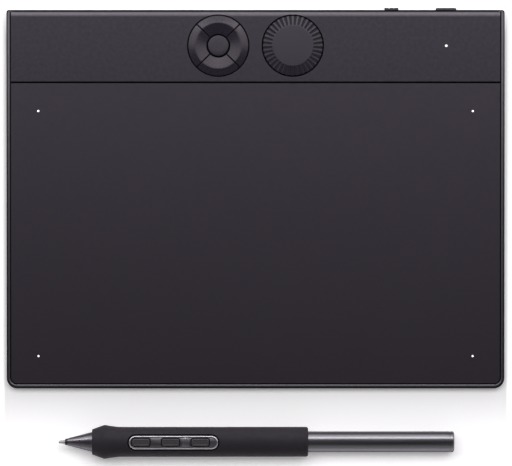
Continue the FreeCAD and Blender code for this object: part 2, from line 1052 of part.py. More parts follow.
def battery_lead():
    """A short flat lead from the end of the battery to the plug on the board."""
    middle = deck.multVec(Vector(0, well_at, battery_plug_height / 2 - board_drop))
    return block(
        battery_end,
        battery_plug_x - battery_plug_length / 2,
        middle.y - lead_width / 2,
        middle.y + lead_width / 2,
        middle.z - lead_thickness / 2,
        middle.z + lead_thickness / 2,
    )


def ribbon_connector():
    along = board_front + connector_depth / 2
    return board_block(ribbon_x, along, ribbon_width, connector_depth, connector_height)


def sensor_ribbon():
    """A thin strip, bent down from the sensor sheet and into the board connector."""
    top = -surface_thickness - sensor_thickness
    low = -board_drop + connector_height / 2
    start = bay_rear - shield_margin - ribbon_overlap
    end = board_front
    line = [(start, top), (bay_rear - 0.5, top), (control_bay_front - 0.5, low), (end, low)]
    outline = [Vector(0, y, z) for y, z in line]
    outline += [Vector(0, y, z - ribbon_thickness) for y, z in reversed(line)]
    strip = Part.Face(Part.makePolygon(outline + [outline[0]]))
    strip.translate(Vector(ribbon_x - ribbon_width / 2, 0, 0))
    return on_deck(strip.extrude(Vector(ribbon_width, 0, 0)))


def power_button():
    """The push button in the rear wall: cap, catch flange and nose."""
    face_y = rear_y + power_proud
    flange_rear = rear_y - rear_wall - key_running_gap
    flange_front = flange_rear - power_flange_thickness
    cap = wall_stadium(power_x, rear_part_height, power_length, power_tall, flange_rear, face_y)
    outer = edges_at(cap, lambda p: abs(p.y - face_y) < 1e-4)
    cap = cap.makeChamfer(power_edge_cut, outer)
    long = (power_length + power_flange_margin) / 2
    tall = (power_tall + power_flange_margin) / 2
    flange = block(
        power_x - long,
        power_x + long,
        flange_front,
        flange_rear,
        rear_part_height - tall,
        rear_part_height + tall,
    )
    height = rear_part_height + power_nose_lift
    nose = block(
        power_x - power_nose_width / 2,
        power_x + power_nose_width / 2,
        flange_front - power_nose_length,
        flange_front,
        height - power_nose_tall / 2,
        height + power_nose_tall / 2,
    )
    return cap.fuse([flange, nose]).removeSplitter()


def power_switch():
    """The side-pressed switch on the board; the nose of the button works in its slot."""
    height = rear_part_height + power_nose_lift
    nose_end = rear_y - rear_wall - key_running_gap - power_flange_thickness - power_nose_length
    front = nose_end - switch_body_width + 2 * power_travel
    rear = nose_end + 2 * power_travel
    half = switch_body_length / 2
    base = deck.multVec(Vector(0, board_rear, -board_drop)).z + key_running_gap
    body = block(power_x - half, power_x + half, front, rear, base, height + switch_body_tall / 2)
    gap = rear_part_clearance
    slot = block(
        power_x - power_nose_width / 2 - gap,
        power_x + power_nose_width / 2 + gap,
        nose_end - power_travel - gap,
        far,
        height - power_nose_tall / 2 - gap,
        height + power_nose_tall / 2 + gap,
    )
    return body.cut(slot)


def mode_slider():
    """The sliding switch knob with grip grooves, its shutter and its tab."""
    face_y = rear_y + slider_proud
    wall_inner = rear_y - rear_wall
    knob = wall_plate(
        slider_x,
        rear_part_height,
        slider_length,
        slider_tall,
        wall_inner - key_running_gap,
        face_y,
        slider_corner_cut,
    )
    grooves = []
    pitch = slider_length / (slider_groove_count + 1)
    for index in range(slider_groove_count):
        x = slider_x + (index - (slider_groove_count - 1) / 2) * pitch
        half = slider_groove_width / 2
        grooves.append(block(x - half, x + half, face_y - slider_groove_depth, far, -far, far))
    knob = knob.cut(grooves)
    shutter_rear = wall_inner - key_running_gap
    reach = slider_length / 2 + slider_travel + 2 * rear_part_clearance + 0.1
    shutter = block(
        slider_x - reach,
        slider_x + reach,
        shutter_rear - slider_shutter_thickness,
        shutter_rear,
        rear_part_height - slider_tall * 0.75,
        rear_part_height + slider_tall * 0.75,
    )
    tab_rear = shutter_rear - slider_shutter_thickness
    height = rear_part_height + power_nose_lift
    tab = block(
        slider_x - slider_tab_width / 2,
        slider_x + slider_tab_width / 2,
        tab_rear - slider_tab_length,
        tab_rear,
        height - slider_tab_tall / 2,
        height + slider_tab_tall / 2,
    )
    return knob.fuse([shutter, tab]).removeSplitter()


def mode_switch():
    """The slide switch on the board, with a slot as long as the knob travels."""
    height = rear_part_height + power_nose_lift
    shutter_rear = rear_y - rear_wall - key_running_gap - slider_shutter_thickness
    tab_end = shutter_rear - slider_tab_length
    middle = slider_x + slider_travel / 2
    half = slider_switch_length / 2
    rear = tab_end + slider_tab_length / 2
    base = deck.multVec(Vector(0, board_rear, -board_drop)).z + key_running_gap
    body = block(
        middle - half, middle + half, rear - switch_body_width, rear, base, height + switch_body_tall / 2
    )
    gap = rear_part_clearance
    slot_half = (slider_travel + slider_tab_width) / 2 + gap
    slot = block(
        middle - slot_half,
        middle + slot_half,
        tab_end - gap,
        far,
        height - slider_tab_tall / 2 - gap,
        height + slider_tab_tall / 2 + gap,
    )
    return body.cut(slot)


def usb_socket():
    """The metal shell of the socket, with two ears that sit on the board."""
    mouth = rear_y - socket_recess
    back = mouth - socket_depth
    shell = wall_stadium(socket_x, rear_part_height, socket_width, socket_tall, back, mouth)
    bore = wall_stadium(
        socket_x,
        rear_part_height,
        socket_width - 2 * socket_wall,
        socket_tall - 2 * socket_wall,
        back - 1,
        mouth + 1,
    )
    ears = []
    for side in (-1, 1):
        inner = side * (socket_width / 2 - socket_tall / 2 * 0.3)
        outer = side * (socket_width / 2 + socket_ear)
        low = -board_drop
        ear = block(
            socket_x + min(inner, outer),
            socket_x + max(inner, outer),
            board_rear - socket_depth / 2,
            board_rear - 0.5,
            low,
            low + socket_ear_thickness,
        )
        ears.append(on_deck(ear))
    return shell.fuse(ears).cut(bore).removeSplitter()


def usb_tongue():
    """The insulator inside the shell: a closed back and the contact tongue."""
    back = rear_y - socket_recess - socket_depth
    bore_tall = socket_tall - 2 * socket_wall
    tall = bore_tall * math.cos(math.radians(22.5))
    length = socket_width - 2 * socket_wall - (bore_tall - tall)
    cut = tall / 2 * (2 - math.sqrt(2))
    insert = wall_plate(
        socket_x, rear_part_height, length, tall, back, back + socket_back, cut
    )
    half = socket_tongue_width / 2
    tongue = block(
        socket_x - half,
        socket_x + half,
        back + socket_back / 2,
        back + socket_back + socket_tongue_length,
        rear_part_height - socket_tongue_thickness / 2,
        rear_part_height + socket_tongue_thickness / 2,
    )
    return insert.fuse(tongue).removeSplitter()


def rubber_feet():
    return [
        foot_pad(x, y, 0, foot_stand_off + foot_inset, 2 * key_running_gap)
        for x, y in feet_places()
    ]


def build_tablet():
    save("bottom_case", bottom_case())
    save("drawing_surface", drawing_surface())
    save("corner_lights", *corner_lights())
    save("sensor_board", sensor_board())
    save("shield_plate", shield_plate())
    save("control_panel", control_panel())
    for side, angle in key_angles.items():
        save(side + "_key", ring_key(angle))
    save("centre_key", centre_key())
    save("key_guide", key_guide())
    save("key_switches", *key_switches())
    save("dial", dial())
    save("dial_encoder", dial_encoder())
    save("main_board", main_board())
    save("controller_can", board_block(can_x, can_at, can_length, can_width, can_height))
    save(
        "wireless_module",
        board_block(module_x, module_at, module_length, module_width, module_height),
    )
    save("status_light", status_light())
    save("status_led", board_block(status_light_x, well_at, led_length, led_width, led_height))
    save("battery", battery())
    save("battery_plug", battery_plug())
    save("battery_lead", battery_lead())
    save("ribbon_connector", ribbon_connector())
    save("sensor_ribbon", sensor_ribbon())
    save("power_button", power_button())
    save("power_switch", power_switch())
    save("mode_slider", mode_slider())
    save("mode_switch", mode_switch())
    save("usb_socket", usb_socket())
    save("usb_tongue", usb_tongue())
    save("rubber_feet", *rubber_feet())


def pen_nib():
    section = [
        (0, 0),
        (0, nib_tip_radius),
        (nib_exit - nib_travel - nib_clearance, nib_radius),
        (nib_length, nib_radius),
        (nib_length, 0),
    ]
    return in_pen(turned(section))


def pen_nose():
    """The turned front cone; its eight-sided bore guides the nib."""
    section = [
        (nib_exit, 0),
        (nib_exit, nose_front_radius),
        (nose_end, nose_rear_radius),
        (nose_end, 0),
    ]
    bore = eight_sided_rod(0, pen_length, nib_radius + nib_clearance)
    return in_pen(turned(section).cut(bore))


def grip_flank():
    """The outer outline of the grip: flared front, hollow waist, straight barrel."""
    shoulder = flare_at + flare_band
    return [
        (nose_end, grip_front_radius - grip_edge_cut),
        (nose_end + grip_edge_cut, grip_front_radius),
        (flare_at, flare_radius),
        (shoulder, flare_radius),
        (shoulder + flare_shoulder_length, flare_radius - flare_shoulder_drop),
        (waist_at, barrel_radius),
        (grip_end - grip_end_cut, barrel_radius),
        (grip_end, barrel_radius - grip_end_cut),
    ]


def plate_prism(length, width, z0, z1):
    return stadium(plate_middle, 0, length, width, z0, z1)


def side_switch_places():
    return [side_switch_start + index * side_switch_spacing for index in range(3)]


def pen_grip():
    """The soft sleeve: flared front, long barrel, and the window for the switches."""
    bore = core_radius + fit_gap
    section = [(nose_end, bore)] + grip_flank() + [(grip_end, bore)]
    sleeve = turned(section)
    window = plate_prism(plate_length + 2 * plate_gap, plate_width + 2 * plate_gap, 0, far)
    return in_pen(sleeve.cut(window))


def switch_prism(x, length, width, z0, z1, corner):
    half = length / 2
    return cut_plate(x - half, x + half, -width / 2, width / 2, z0, z1, corner)


def plate_pocket(z0, z1):
    """The room under the plate for the flanges of the switches."""
    length = plate_length - 2 * plate_pocket_margin
    return switch_prism(plate_middle, length, plate_pocket_width, z0, z1, plate_pocket_corner)


def switch_plate():
    """The bezel over the switches, its top bent to the round of the barrel."""
    body = plate_prism(plate_length, plate_width, plate_base, far).common(
        rod(0, pen_length, plate_surface_radius)
    )
    cuts = [plate_pocket(0, plate_pocket_top)]
    for x in side_switch_places():
        cuts.append(
            switch_prism(x, side_switch_length, side_switch_width, 0, far, side_switch_corner)
        )
    ridges = []
    middle = side_switch_places()[1] + side_switch_spacing / 2
    for index in range(plate_ridge_count):
        x = middle + (index - (plate_ridge_count - 1) / 2) * plate_ridge_spacing
        half = plate_ridge_width / 2
        ridge = block(
            x - half, x + half, -side_switch_width / 2, side_switch_width / 2, plate_pocket_top, far
        )
        ridges.append(ridge.common(rod(0, pen_length, plate_surface_radius + plate_ridge_height)))
    return in_pen(body.fuse(ridges).cut(cuts).removeSplitter())


def side_switch(x):
    """One switch cap with its flange and the stem that presses the dome."""
    gap = 2 * side_switch_gap
    corner = side_switch_corner - side_switch_gap / 2
    flange_top = plate_pocket_top - key_running_gap
    flange_bottom = flange_top - side_switch_flange_thickness
    cap = switch_prism(
        x, side_switch_length - gap, side_switch_width - gap, flange_bottom, far, corner
    ).common(rod(0, pen_length, side_switch_radius))
    flange = switch_prism(
        x,
        side_switch_length + 2 * side_switch_flange,
        side_switch_width + 2 * side_switch_flange,
        flange_bottom,
        flange_top,
        side_switch_flange_corner,
    )
    half = side_switch_stem
    tip = pen_board_thickness + dome_height + side_switch_travel + press_gap
    stem = block(x - half, x + half, -half, half, tip, flange_bottom)
    return in_pen(cap.fuse([flange, stem]).removeSplitter())


def pen_core():
    """The eight-sided inner barrel, from behind the nose to the tail tube."""
    end = grip_end - tail_inset - fit_gap
    tube = eight_sided_rod(nose_end, end, core_flat)
    tube = tube.cut(eight_sided_rod(0, pen_length, core_bore))
    half = plate_length / 2 + side_switch_gap
    bed = block(plate_middle - half, plate_middle + half, -far, far, plate_base, far)
    return in_pen(tube.cut([bed, plate_pocket(pen_board_thickness, far)]))


def pen_tail():
    """The smooth metal tube behind the grip; its eight-sided bore keys the end cap."""
    tail_start = grip_end - tail_inset
    end = pen_length - cap_visible
    tube = rod(tail_start, end, tail_radius)
    return in_pen(tube.cut(eight_sided_rod(0, pen_length, tail_bore)))


def pen_end_cap():
    """The rear plug: a button with a broken edge that closes the tail tube."""
    start = pen_length - cap_visible
    section = [
        (start + fit_gap, 0),
        (start + fit_gap, tail_radius),
        (pen_length - cap_edge_cut, tail_radius),
        (pen_length, tail_radius - cap_edge_cut),
        (pen_length, 0),
    ]
    spigot = eight_sided_rod(start - cap_spigot_length, start + 2 * fit_gap, tail_bore - fit_gap)
    return in_pen(turned(section).fuse(spigot))


def pen_board():
    half = core_bore - board_side_gap
    end = pen_board_start + pen_board_length
    return in_pen(block(pen_board_start, end, -half, half, 0, pen_board_thickness))


def pen_dome_switches():
    half = dome_side / 2
    top = pen_board_thickness + dome_height
    return [
        in_pen(block(x - half, x + half, -half, half, pen_board_thickness, top))
        for x in side_switch_places()
    ]


def antenna_coil():
    """The coil on its core, pierced for the nib."""
    bore = nib_radius + nib_clearance
    coil = eight_sided_rod(coil_start, coil_start + coil_length, core_bore - fit_gap)
    return in_pen(coil.cut(eight_sided_rod(0, pen_length, bore)))


def pressure_sensor():
    """The block behind the coil; the rear end of the nib sits in its blind socket."""
    half = pressure_side / 2
    body = block(pressure_start, pressure_start + pressure_length, -half, half, -half, half)
    bore = nib_radius + nib_clearance
    socket = eight_sided_rod(0, nib_length + nib_travel + nib_clearance, bore)
    return in_pen(body.cut(socket))


def build_pen():
    save("pen_nib", pen_nib())
    save("pen_nose", pen_nose())
    save("pen_grip", pen_grip())
    save("switch_plate", switch_plate())
    for name, x in zip(("front", "middle", "rear"), side_switch_places()):
        save(name + "_side_switch", side_switch(x))
    save("pen_core", pen_core())
    save("pen_tail", pen_tail())
    save("pen_end_cap", pen_end_cap())
    save("pen_board", pen_board())
    save("pen_dome_switches", *pen_dome_switches())
    save("antenna_coil", antenna_coil())
    save("pressure_sensor", pressure_sensor())


build_tablet()
build_pen()
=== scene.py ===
# %% [markdown]
# # A small pen tablet and its pen, dressed in Blender
#
# The tablet is a thin dark wedge: a metal tray, a matt sheet to draw on, and a smooth strip
# along the rear with a ring of keys, a ribbed dial and a row of controls in the rear wall.
# A pen with a soft grip and a metal tail lies in front of it.
#
# The shapes that fit and move were made in CAD and come in as a fixed frame. Here each
# surface gets its finish, and the pieces that a hand touches are made again with the soft
# edges and fine ribs that a plain CAD mesh lacks.

# %% Load the frame
import math

import bmesh
import bpy
from mathutils import Matrix, Vector, geometry


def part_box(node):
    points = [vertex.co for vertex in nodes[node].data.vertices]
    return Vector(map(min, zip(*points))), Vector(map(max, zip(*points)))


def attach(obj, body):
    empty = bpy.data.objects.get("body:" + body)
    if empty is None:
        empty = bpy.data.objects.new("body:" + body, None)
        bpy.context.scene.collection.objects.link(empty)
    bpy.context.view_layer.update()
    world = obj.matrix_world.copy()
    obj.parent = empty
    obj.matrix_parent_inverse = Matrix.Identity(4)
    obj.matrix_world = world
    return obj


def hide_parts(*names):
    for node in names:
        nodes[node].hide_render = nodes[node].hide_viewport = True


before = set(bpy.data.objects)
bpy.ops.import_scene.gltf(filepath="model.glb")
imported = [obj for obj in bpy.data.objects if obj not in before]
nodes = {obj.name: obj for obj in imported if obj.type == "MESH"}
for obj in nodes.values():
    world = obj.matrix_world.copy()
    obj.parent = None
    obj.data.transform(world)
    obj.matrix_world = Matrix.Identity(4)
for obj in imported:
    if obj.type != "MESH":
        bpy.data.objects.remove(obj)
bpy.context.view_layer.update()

MM = 0.001

# %% [markdown]
# ## Two benches to work on
#
# Flat pieces are easiest to make lying flat, and the pen is easiest to make along its own
# axis. So there are two benches. The deck is the top plane of the tablet: X to the right,
# Y up the gentle slope from the front edge, Z straight out of the surface. The pen bench has
# X from the tip of the nib to the tail and Z up through the side switches. All numbers on a
# bench are millimetres, and a piece is carried home, in metres, when its mesh is finished.

# %% The deck and the pen bench
half_width, case_depth, front_reach = 107.5, 163.4, 67
front_height, rear_height = 4.0, 7.0
case_low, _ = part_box("bottom_case")
deck_slope = math.atan2(rear_height - front_height, case_depth)
deck = Matrix.Translation((0, case_low.y, front_height * MM)) @ Matrix.Rotation(deck_slope, 4, "X")

# The pen rests on the peak of its flare and on the rear end of the straight barrel.
flare_radius, flare_rest = 7.3, 20.1
barrel_radius, barrel_rest = 6.45, 106.9
pen_lean = math.atan2(flare_radius - barrel_radius, barrel_rest - flare_rest)
nib_low, nib_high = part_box("pen_nib")
pen_tip = Vector((nib_low.x, (nib_low.y + nib_high.y) / 2, 0))
pen_tip.z = (flare_radius * math.cos(pen_lean) + flare_rest * math.sin(pen_lean)) * MM
pen_bench = Matrix.Translation(pen_tip) @ Matrix.Rotation(pen_lean, 4, "Y")
print("slope", round(math.degrees(deck_slope), 3), "pen tip", [round(v / MM, 3) for v in pen_tip])


def middle_on_deck(node):
    """The middle of a node on the deck: millimetres to the right and up the slope."""
    low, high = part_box(node)
    spot = deck.inverted() @ ((low + high) / 2)
    return spot.x / MM, spot.y / MM


ring_x, well_at = middle_on_deck("centre_key")
dial_x, _ = middle_on_deck("dial")
print("ring", round(ring_x, 2), "dial", round(dial_x, 2), "up the slope", round(well_at, 2))

# %% [markdown]
# ## Mixing finishes
#
# Each finish is a small tree of nodes. Real surfaces are never one flat colour: there is a
# slow drift over the whole sheet, a fine grain from the mould or the bead blasting, and
# places that are a little smoother than others. All of them start from noise in the
# coordinates of the object, so the marks stay on the piece when it moves. Four small helpers
# join nodes, and a finish has words for colour, roughness and relief, each driven by a cloud
# of noise. Two more words paint light and shade: a pale band of painted highlight along the
# rear edge of the strip, and painted shade on the flanks of the tray that are turned away
# from its middle. A dyed or plated metal shines less at its very rim, which is the finish's
# rim value.

# %% Helpers that join nodes
def tone(red, green, blue):
    """A colour as a screen shows it, 0 to 255, turned into the light it stands for."""
    parts = []
    for value in (red, green, blue):
        share = value / 255
        parts.append(share / 12.92 if share <= 0.04045 else ((share + 0.055) / 1.055) ** 2.4)
    return (*parts, 1.0)


def ranged(tree, source, start, stop, low, high):
    """Low where the source is at start, high where it is at stop, even in between."""
    node = tree.nodes.new("ShaderNodeMapRange")
    for name, value in zip(("From Min", "From Max", "To Min", "To Max"), (start, stop, low, high)):
        node.inputs[name].default_value = value
    tree.links.new(source, node.inputs["Value"])
    return node.outputs["Result"]


def worked_out(tree, operation, first, second):
    """The sum, product or greater one of two sources."""
    node = tree.nodes.new("ShaderNodeMath")
    node.operation = operation
    tree.links.new(first, node.inputs[0])
    tree.links.new(second, node.inputs[1])
    return node.outputs["Value"]


def blended(tree, share, first, second, kind="FLOAT"):
    """The first where the share is 0, the second where it is 1; each a source or a value."""
    mix = tree.nodes.new("ShaderNodeMix")
    mix.data_type = kind
    tree.links.new(share, mix.inputs["Factor"])
    for name, end in (("A", first), ("B", second)):
        if isinstance(end, bpy.types.NodeSocket):
            tree.links.new(end, mix.inputs[name])
        else:
            mix.inputs[name].default_value = end
    return mix.outputs["Result"]


def axes_of(tree, coordinates):
    """The X, Y and Z of a source of coordinates."""
    split = tree.nodes.new("ShaderNodeSeparateXYZ")
    tree.links.new(coordinates, split.inputs[0])
    return split.outputs


print("white as light", tone(255, 255, 255)[:3], "dark grey", round(tone(50, 50, 50)[0], 4))

# %% A finish and its words
class Finish:
    """A material with its shader at hand and short words for the nodes that feed it.

    A cloud is noise. It is given as (spots in a millimetre, levels of detail) and may have a
    third entry, three numbers for X, Y and Z that draw the spots out where they are small.
    """

    def __init__(self, name, rough, metal=0.0, shine=0.5, rim=1.0):
        self.material = bpy.data.materials.new(name)
        self.material.use_nodes = True
        self.tree = self.material.node_tree
        self.shader = self.tree.nodes["Principled BSDF"]
        self.shader.inputs["Roughness"].default_value = rough
        self.shader.inputs["Metallic"].default_value = metal
        self.shader.inputs["Specular IOR Level"].default_value = shine
        # The bright edges in the picture are a trace short of green.
        self.shader.inputs["Specular Tint"].default_value = (rim, 0.95 * rim, rim, 1.0)
        self.place = self.tree.nodes.new("ShaderNodeTexCoord").outputs["Object"]

    def link(self, source, target):
        self.tree.links.new(source, target)

    def cloud(self, spots_per_mm, detail, stretch=(1, 1, 1)):
        mapping = self.tree.nodes.new("ShaderNodeMapping")
        mapping.inputs["Scale"].default_value = stretch
        noise = self.tree.nodes.new("ShaderNodeTexNoise")
        noise.inputs["Scale"].default_value = spots_per_mm / MM
        noise.inputs["Detail"].default_value = detail
        self.link(self.place, mapping.inputs["Vector"])
        self.link(mapping.outputs["Vector"], noise.inputs["Vector"])
        return noise.outputs["Fac"]

    def source(self, given):
        """What was given, or the noise that a cloud stands for."""
        return self.cloud(*given) if isinstance(given, tuple) else given

    def spread(self, given, low, high, start=0.3, end=0.7):
        """Stretches the middle values of a cloud over the range from low to high."""
        return ranged(self.tree, self.source(given), start, end, low, high)

    def colours(self, given, first, second):
        """Blends two screen colours and gives the result to the shader."""
        mixed = blended(self.tree, self.source(given), tone(*first), tone(*second), "RGBA")
        self.link(mixed, self.shader.inputs["Base Color"])
        return mixed

    def roughness(self, given, low, high, start=0.3, end=0.7):
        spread = self.spread(given, low, high, start, end)
        self.link(spread, self.shader.inputs["Roughness"])

    def relief(self, given, height_mm, strength):
        """Raises the surface for the light, by a stated height at the most."""
        bump = self.tree.nodes.new("ShaderNodeBump")
        bump.inputs["Distance"].default_value = height_mm * MM
        bump.inputs["Strength"].default_value = strength
        self.link(self.source(given), bump.inputs["Height"])
        self.link(bump.outputs["Normal"], self.shader.inputs["Normal"])

    def painted_edge_highlight(self, cloud, start_mm, full_mm, stop_mm, end_mm):
        """A cloud that is faint but for a band towards the rear, where it is full: a painted
        highlight.
        """
        rearward = axes_of(self.tree, self.place)["Y"]
        rise = self.spread(rearward, 0, 1, start_mm * MM, full_mm * MM)
        fall = self.spread(rearward, 1, 0, stop_mm * MM, end_mm * MM)
        band = worked_out(self.tree, "MULTIPLY", rise, fall)
        noise = self.source(cloud)
        faint, full = self.spread(noise, 0.01, 0.06), self.spread(noise, 0.85, 1.0)
        return blended(self.tree, band, faint, full)

    def painted_flank_shade(self, half_length_mm, half_width_mm):
        """One where level or turned to the middle, nought on flanks turned away: painted shade."""
        outward = self.tree.nodes.new("ShaderNodeVectorMath")
        outward.operation = "MULTIPLY"
        outward.inputs[1].default_value = (1 / (half_length_mm * MM), 1 / (half_width_mm * MM), 0)
        self.link(self.place, outward.inputs[0])
        facing = self.tree.nodes.new("ShaderNodeNewGeometry")
        lean = self.tree.nodes.new("ShaderNodeVectorMath")
        lean.operation = "DOT_PRODUCT"
        self.link(outward.outputs["Vector"], lean.inputs[0])
        self.link(facing.outputs["Normal"], lean.inputs[1])
        return self.spread(lean.outputs["Value"], 1, 0, 0.1, 0.5)


print("words of a finish", [word for word in vars(Finish) if not word.startswith("_")])

# %% [markdown]
# ## The dark finishes of the tablet
#
# The tray is taken to be aluminium, bead blasted and dyed nearly black: a metal with a fine
# even grain, so its round edges catch the lamp. The flank that is turned away from the middle
# is painted darker, which is painted shade. The drawing sheet is a textured film. Its tooth
# gives the pen its bite, and it hides fingerprints, so it is rough and hardly shines. The strip,
# the keys and the dial are moulded plastic, a little smoother than the film, and the strip's
# rear edge is smoother still and carries a pale band of painted highlight.

# %% Tray, sheet, strip and keys
case_metal = Finish("anodised_tray", rough=0.42, metal=1.0, rim=0.4)
# The flanks turned away from the middle get a darker colour, which is painted shade.
case_metal.colours(case_metal.painted_flank_shade(half_width, front_reach), (36, 34, 39), (88, 86, 91))
case_metal.roughness((2.5, 2), 0.38, 0.48)
case_metal.relief((9.0, 1), 0.004, 0.35)

sheet_film = Finish("textured_film", rough=0.62, shine=0.3)
sheet_film.colours((0.02, 4), (31, 27, 35), (34, 30, 38))
sheet_film.roughness((0.4, 3), 0.58, 0.68)
sheet_film.relief((5.0, 2), 0.006, 0.3)

strip_plastic = Finish("satin_strip", rough=0.5, shine=0.25)
# The pale band along the rear edge is a painted highlight; the band is also smoother.
edge_highlight_band = strip_plastic.painted_edge_highlight((0.6, 3), 93.3, 95.0, 95.15, 95.35)
strip_plastic.colours(edge_highlight_band, (24, 20, 29), (96, 93, 100))
strip_plastic.roughness(edge_highlight_band, 0.5, 0.3, 0, 1)
strip_plastic.relief((7.0, 2), 0.002, 0.2)

key_plastic = Finish("key_plastic", rough=0.3, shine=0.3)
key_plastic.colours((0.1, 3), (22, 18, 27), (26, 22, 31))
key_plastic.roughness((1.5, 3), 0.25, 0.32)
key_plastic.relief((8.0, 2), 0.003, 0.3)

dial_plastic = Finish("dial_plastic", rough=0.32, shine=0.3)
dial_plastic.colours((0.12, 3), (24, 20, 29), (28, 24, 33))
dial_plastic.roughness((1.2, 3, (0.15, 1, 1)), 0.28, 0.36)
dial_plastic.relief((3.0, 2, (0.1, 1, 1)), 0.004, 0.25)
print("materials so far", len(bpy.data.materials))

# %% [markdown]
# ## The lights, the rubber and the parts inside
#
# The light dots are ends of clear rods with a lamp under them, so they shine a little by
# themselves. The pads below are soft rubber. The parts inside are hidden by the covers, but
# they stay in the model, so each gets a plain honest finish: green board with paler tracks,
# folded foil round the battery, tinned steel, dull black plastic and red copper. Tracks,
# wires and the stripes of the ribbon are clouds drawn out long and cut off hard.

# %% Light rods and black rubber and plastic
light_rod = Finish("light_rod", rough=0.3)
light_colour = light_rod.colours((1.0, 2), (236, 238, 244), (250, 251, 255))
light_rod.link(light_colour, light_rod.shader.inputs["Emission Color"])
light_rod.shader.inputs["Emission Strength"].default_value = 0.75
light_rod.roughness((3.0, 2), 0.25, 0.4)

foot_rubber = Finish("foot_rubber", rough=0.85, shine=0.3)
foot_rubber.colours((0.5, 3), (26, 26, 27), (34, 34, 35))
foot_rubber.roughness((2.0, 3), 0.78, 0.92)
foot_rubber.relief((4.0, 3), 0.02, 0.4)

inner_plastic = Finish("inner_plastic", rough=0.6, shine=0.4)
inner_plastic.colours((0.3, 3), (22, 22, 23), (30, 30, 31))
inner_plastic.roughness((1.0, 3), 0.5, 0.7)
inner_plastic.relief((6.0, 2), 0.004, 0.3)
print("materials so far", len(bpy.data.materials))

# %% Boards, steel, foil, leads and copper
board_green = Finish("board_green", rough=0.4)
tracks = (0.35, 1, (1, 0.15, 1))
board_green.colours(board_green.spread(tracks, 0, 1, 0.48, 0.54), (20, 62, 44), (38, 92, 66))
board_green.roughness((1.0, 2), 0.35, 0.5)
board_green.relief(tracks, 0.03, 0.4)

tinned_steel = Finish("tinned_steel", rough=0.32, metal=1.0)
tinned_steel.colours((0.2, 3), (176, 177, 180), (196, 197, 199))
tinned_steel.roughness((2.0, 3, (0.05, 1, 1)), 0.26, 0.4)
tinned_steel.relief((4.0, 2, (0.05, 1, 1)), 0.003, 0.3)

battery_foil = Finish("battery_foil", rough=0.38, metal=1.0)
battery_foil.colours((0.08, 4), (150, 152, 156), (184, 186, 190))
battery_foil.roughness((0.5, 3), 0.3, 0.5)
battery_foil.relief((0.15, 4), 0.25, 0.5)

lead_sleeve = Finish("lead_sleeve", rough=0.5, shine=0.4)
wires = lead_sleeve.spread((0.7, 0, (0.02, 1, 0.02)), 0, 1, 0.47, 0.53)
lead_sleeve.colours(wires, (130, 24, 22), (26, 26, 28))
lead_sleeve.roughness((2.0, 2), 0.42, 0.58)

ribbon_film = Finish("ribbon_film", rough=0.35)
stripes = ribbon_film.spread((1.2, 0, (1, 0.02, 0.02)), 0, 1, 0.46, 0.54)
ribbon_film.colours(stripes, (168, 106, 40), (196, 140, 66))
ribbon_film.roughness((1.0, 2), 0.3, 0.45)

coil_copper = Finish("coil_copper", rough=0.35, metal=1.0)
coil_copper.colours((2.5, 1, (1, 0.03, 0.03)), (150, 78, 46), (196, 118, 78))
coil_copper.roughness((2.0, 2), 0.28, 0.45)
coil_copper.relief((2.5, 0, (1, 0.03, 0.03)), 0.06, 0.6)

socket_steel = Finish("socket_steel", rough=0.28, metal=1.0)
socket_steel.colours((0.4, 3), (120, 121, 124), (146, 147, 150))
socket_steel.roughness((1.5, 3), 0.22, 0.36)
print("materials so far", len(bpy.data.materials))

# %% [markdown]
# ## The finishes of the pen
#
# The grip is soft-touch rubber over a plastic barrel: dark, matt, with a faint even tooth.
# The nose is a turned metal cone whose tool marks run round it as fine rings, and the tail is
# a smooth tube of dark plated metal with long streaks along it. The nib is a hard pale
# plastic that wears grey. The switches sit in a bezel of satin metal with a polished rim,
# whose pale colour is partly a painted highlight.

# %% Grip, metal, nib and switches
grip_rubber = Finish("grip_rubber", rough=0.7, shine=0.3)
grip_rubber.colours((0.06, 4), (37, 34, 40), (42, 39, 45))
grip_rubber.roughness((0.5, 3), 0.64, 0.78)
grip_rubber.relief((5.0, 2), 0.01, 0.35)

nose_metal = Finish("turned_nose", rough=0.3, metal=1.0, rim=0.4)
rings = nose_metal.cloud(2.2, 3, (1, 0.01, 0.01))
nose_metal.colours(rings, (106, 103, 109), (120, 117, 123))
nose_metal.roughness((1.4, 3, (1, 0.01, 0.01)), 0.24, 0.32)
nose_metal.relief(rings, 0.004, 0.25)

tail_metal = Finish("plated_tail", rough=0.3, metal=1.0, rim=0.3)
tail_metal.colours((0.6, 3, (0.02, 1, 1)), (118, 117, 121), (128, 127, 131))
tail_metal.roughness((1.5, 3, (0.02, 1, 1)), 0.26, 0.36)
tail_metal.relief((4.0, 2, (0.02, 1, 1)), 0.002, 0.3)

nib_plastic = Finish("nib_plastic", rough=0.5, shine=0.4)
nib_plastic.colours((0.5, 3), (172, 170, 174), (190, 188, 192))
nib_plastic.roughness((1.5, 2), 0.42, 0.6)
nib_plastic.relief((5.0, 2), 0.004, 0.3)


def satin_metal(name, spots_per_mm, rough, first, second, low, high):
    """Metal with a fine satin drawn along the pen, for the bezel or its rim."""
    metal = Finish(name, rough=rough, metal=1.0)
    metal.colours((spots_per_mm, 3), first, second)
    metal.roughness((1.5, 3, (0.1, 1, 1)), low, high)
    metal.relief((5.0, 2, (0.1, 1, 1)), 0.002, 0.3)
    return metal


bezel_metal = satin_metal("bezel_metal", 0.4, 0.36, (124, 121, 127), (138, 135, 141), 0.32, 0.42)
# The polished rim's colour is raised far above the plate's as a painted highlight.
rim_highlight_metal = satin_metal("polished_rim_highlight", 0.5, 0.3, (196, 193, 199), (214, 211, 217), 0.26, 0.36)

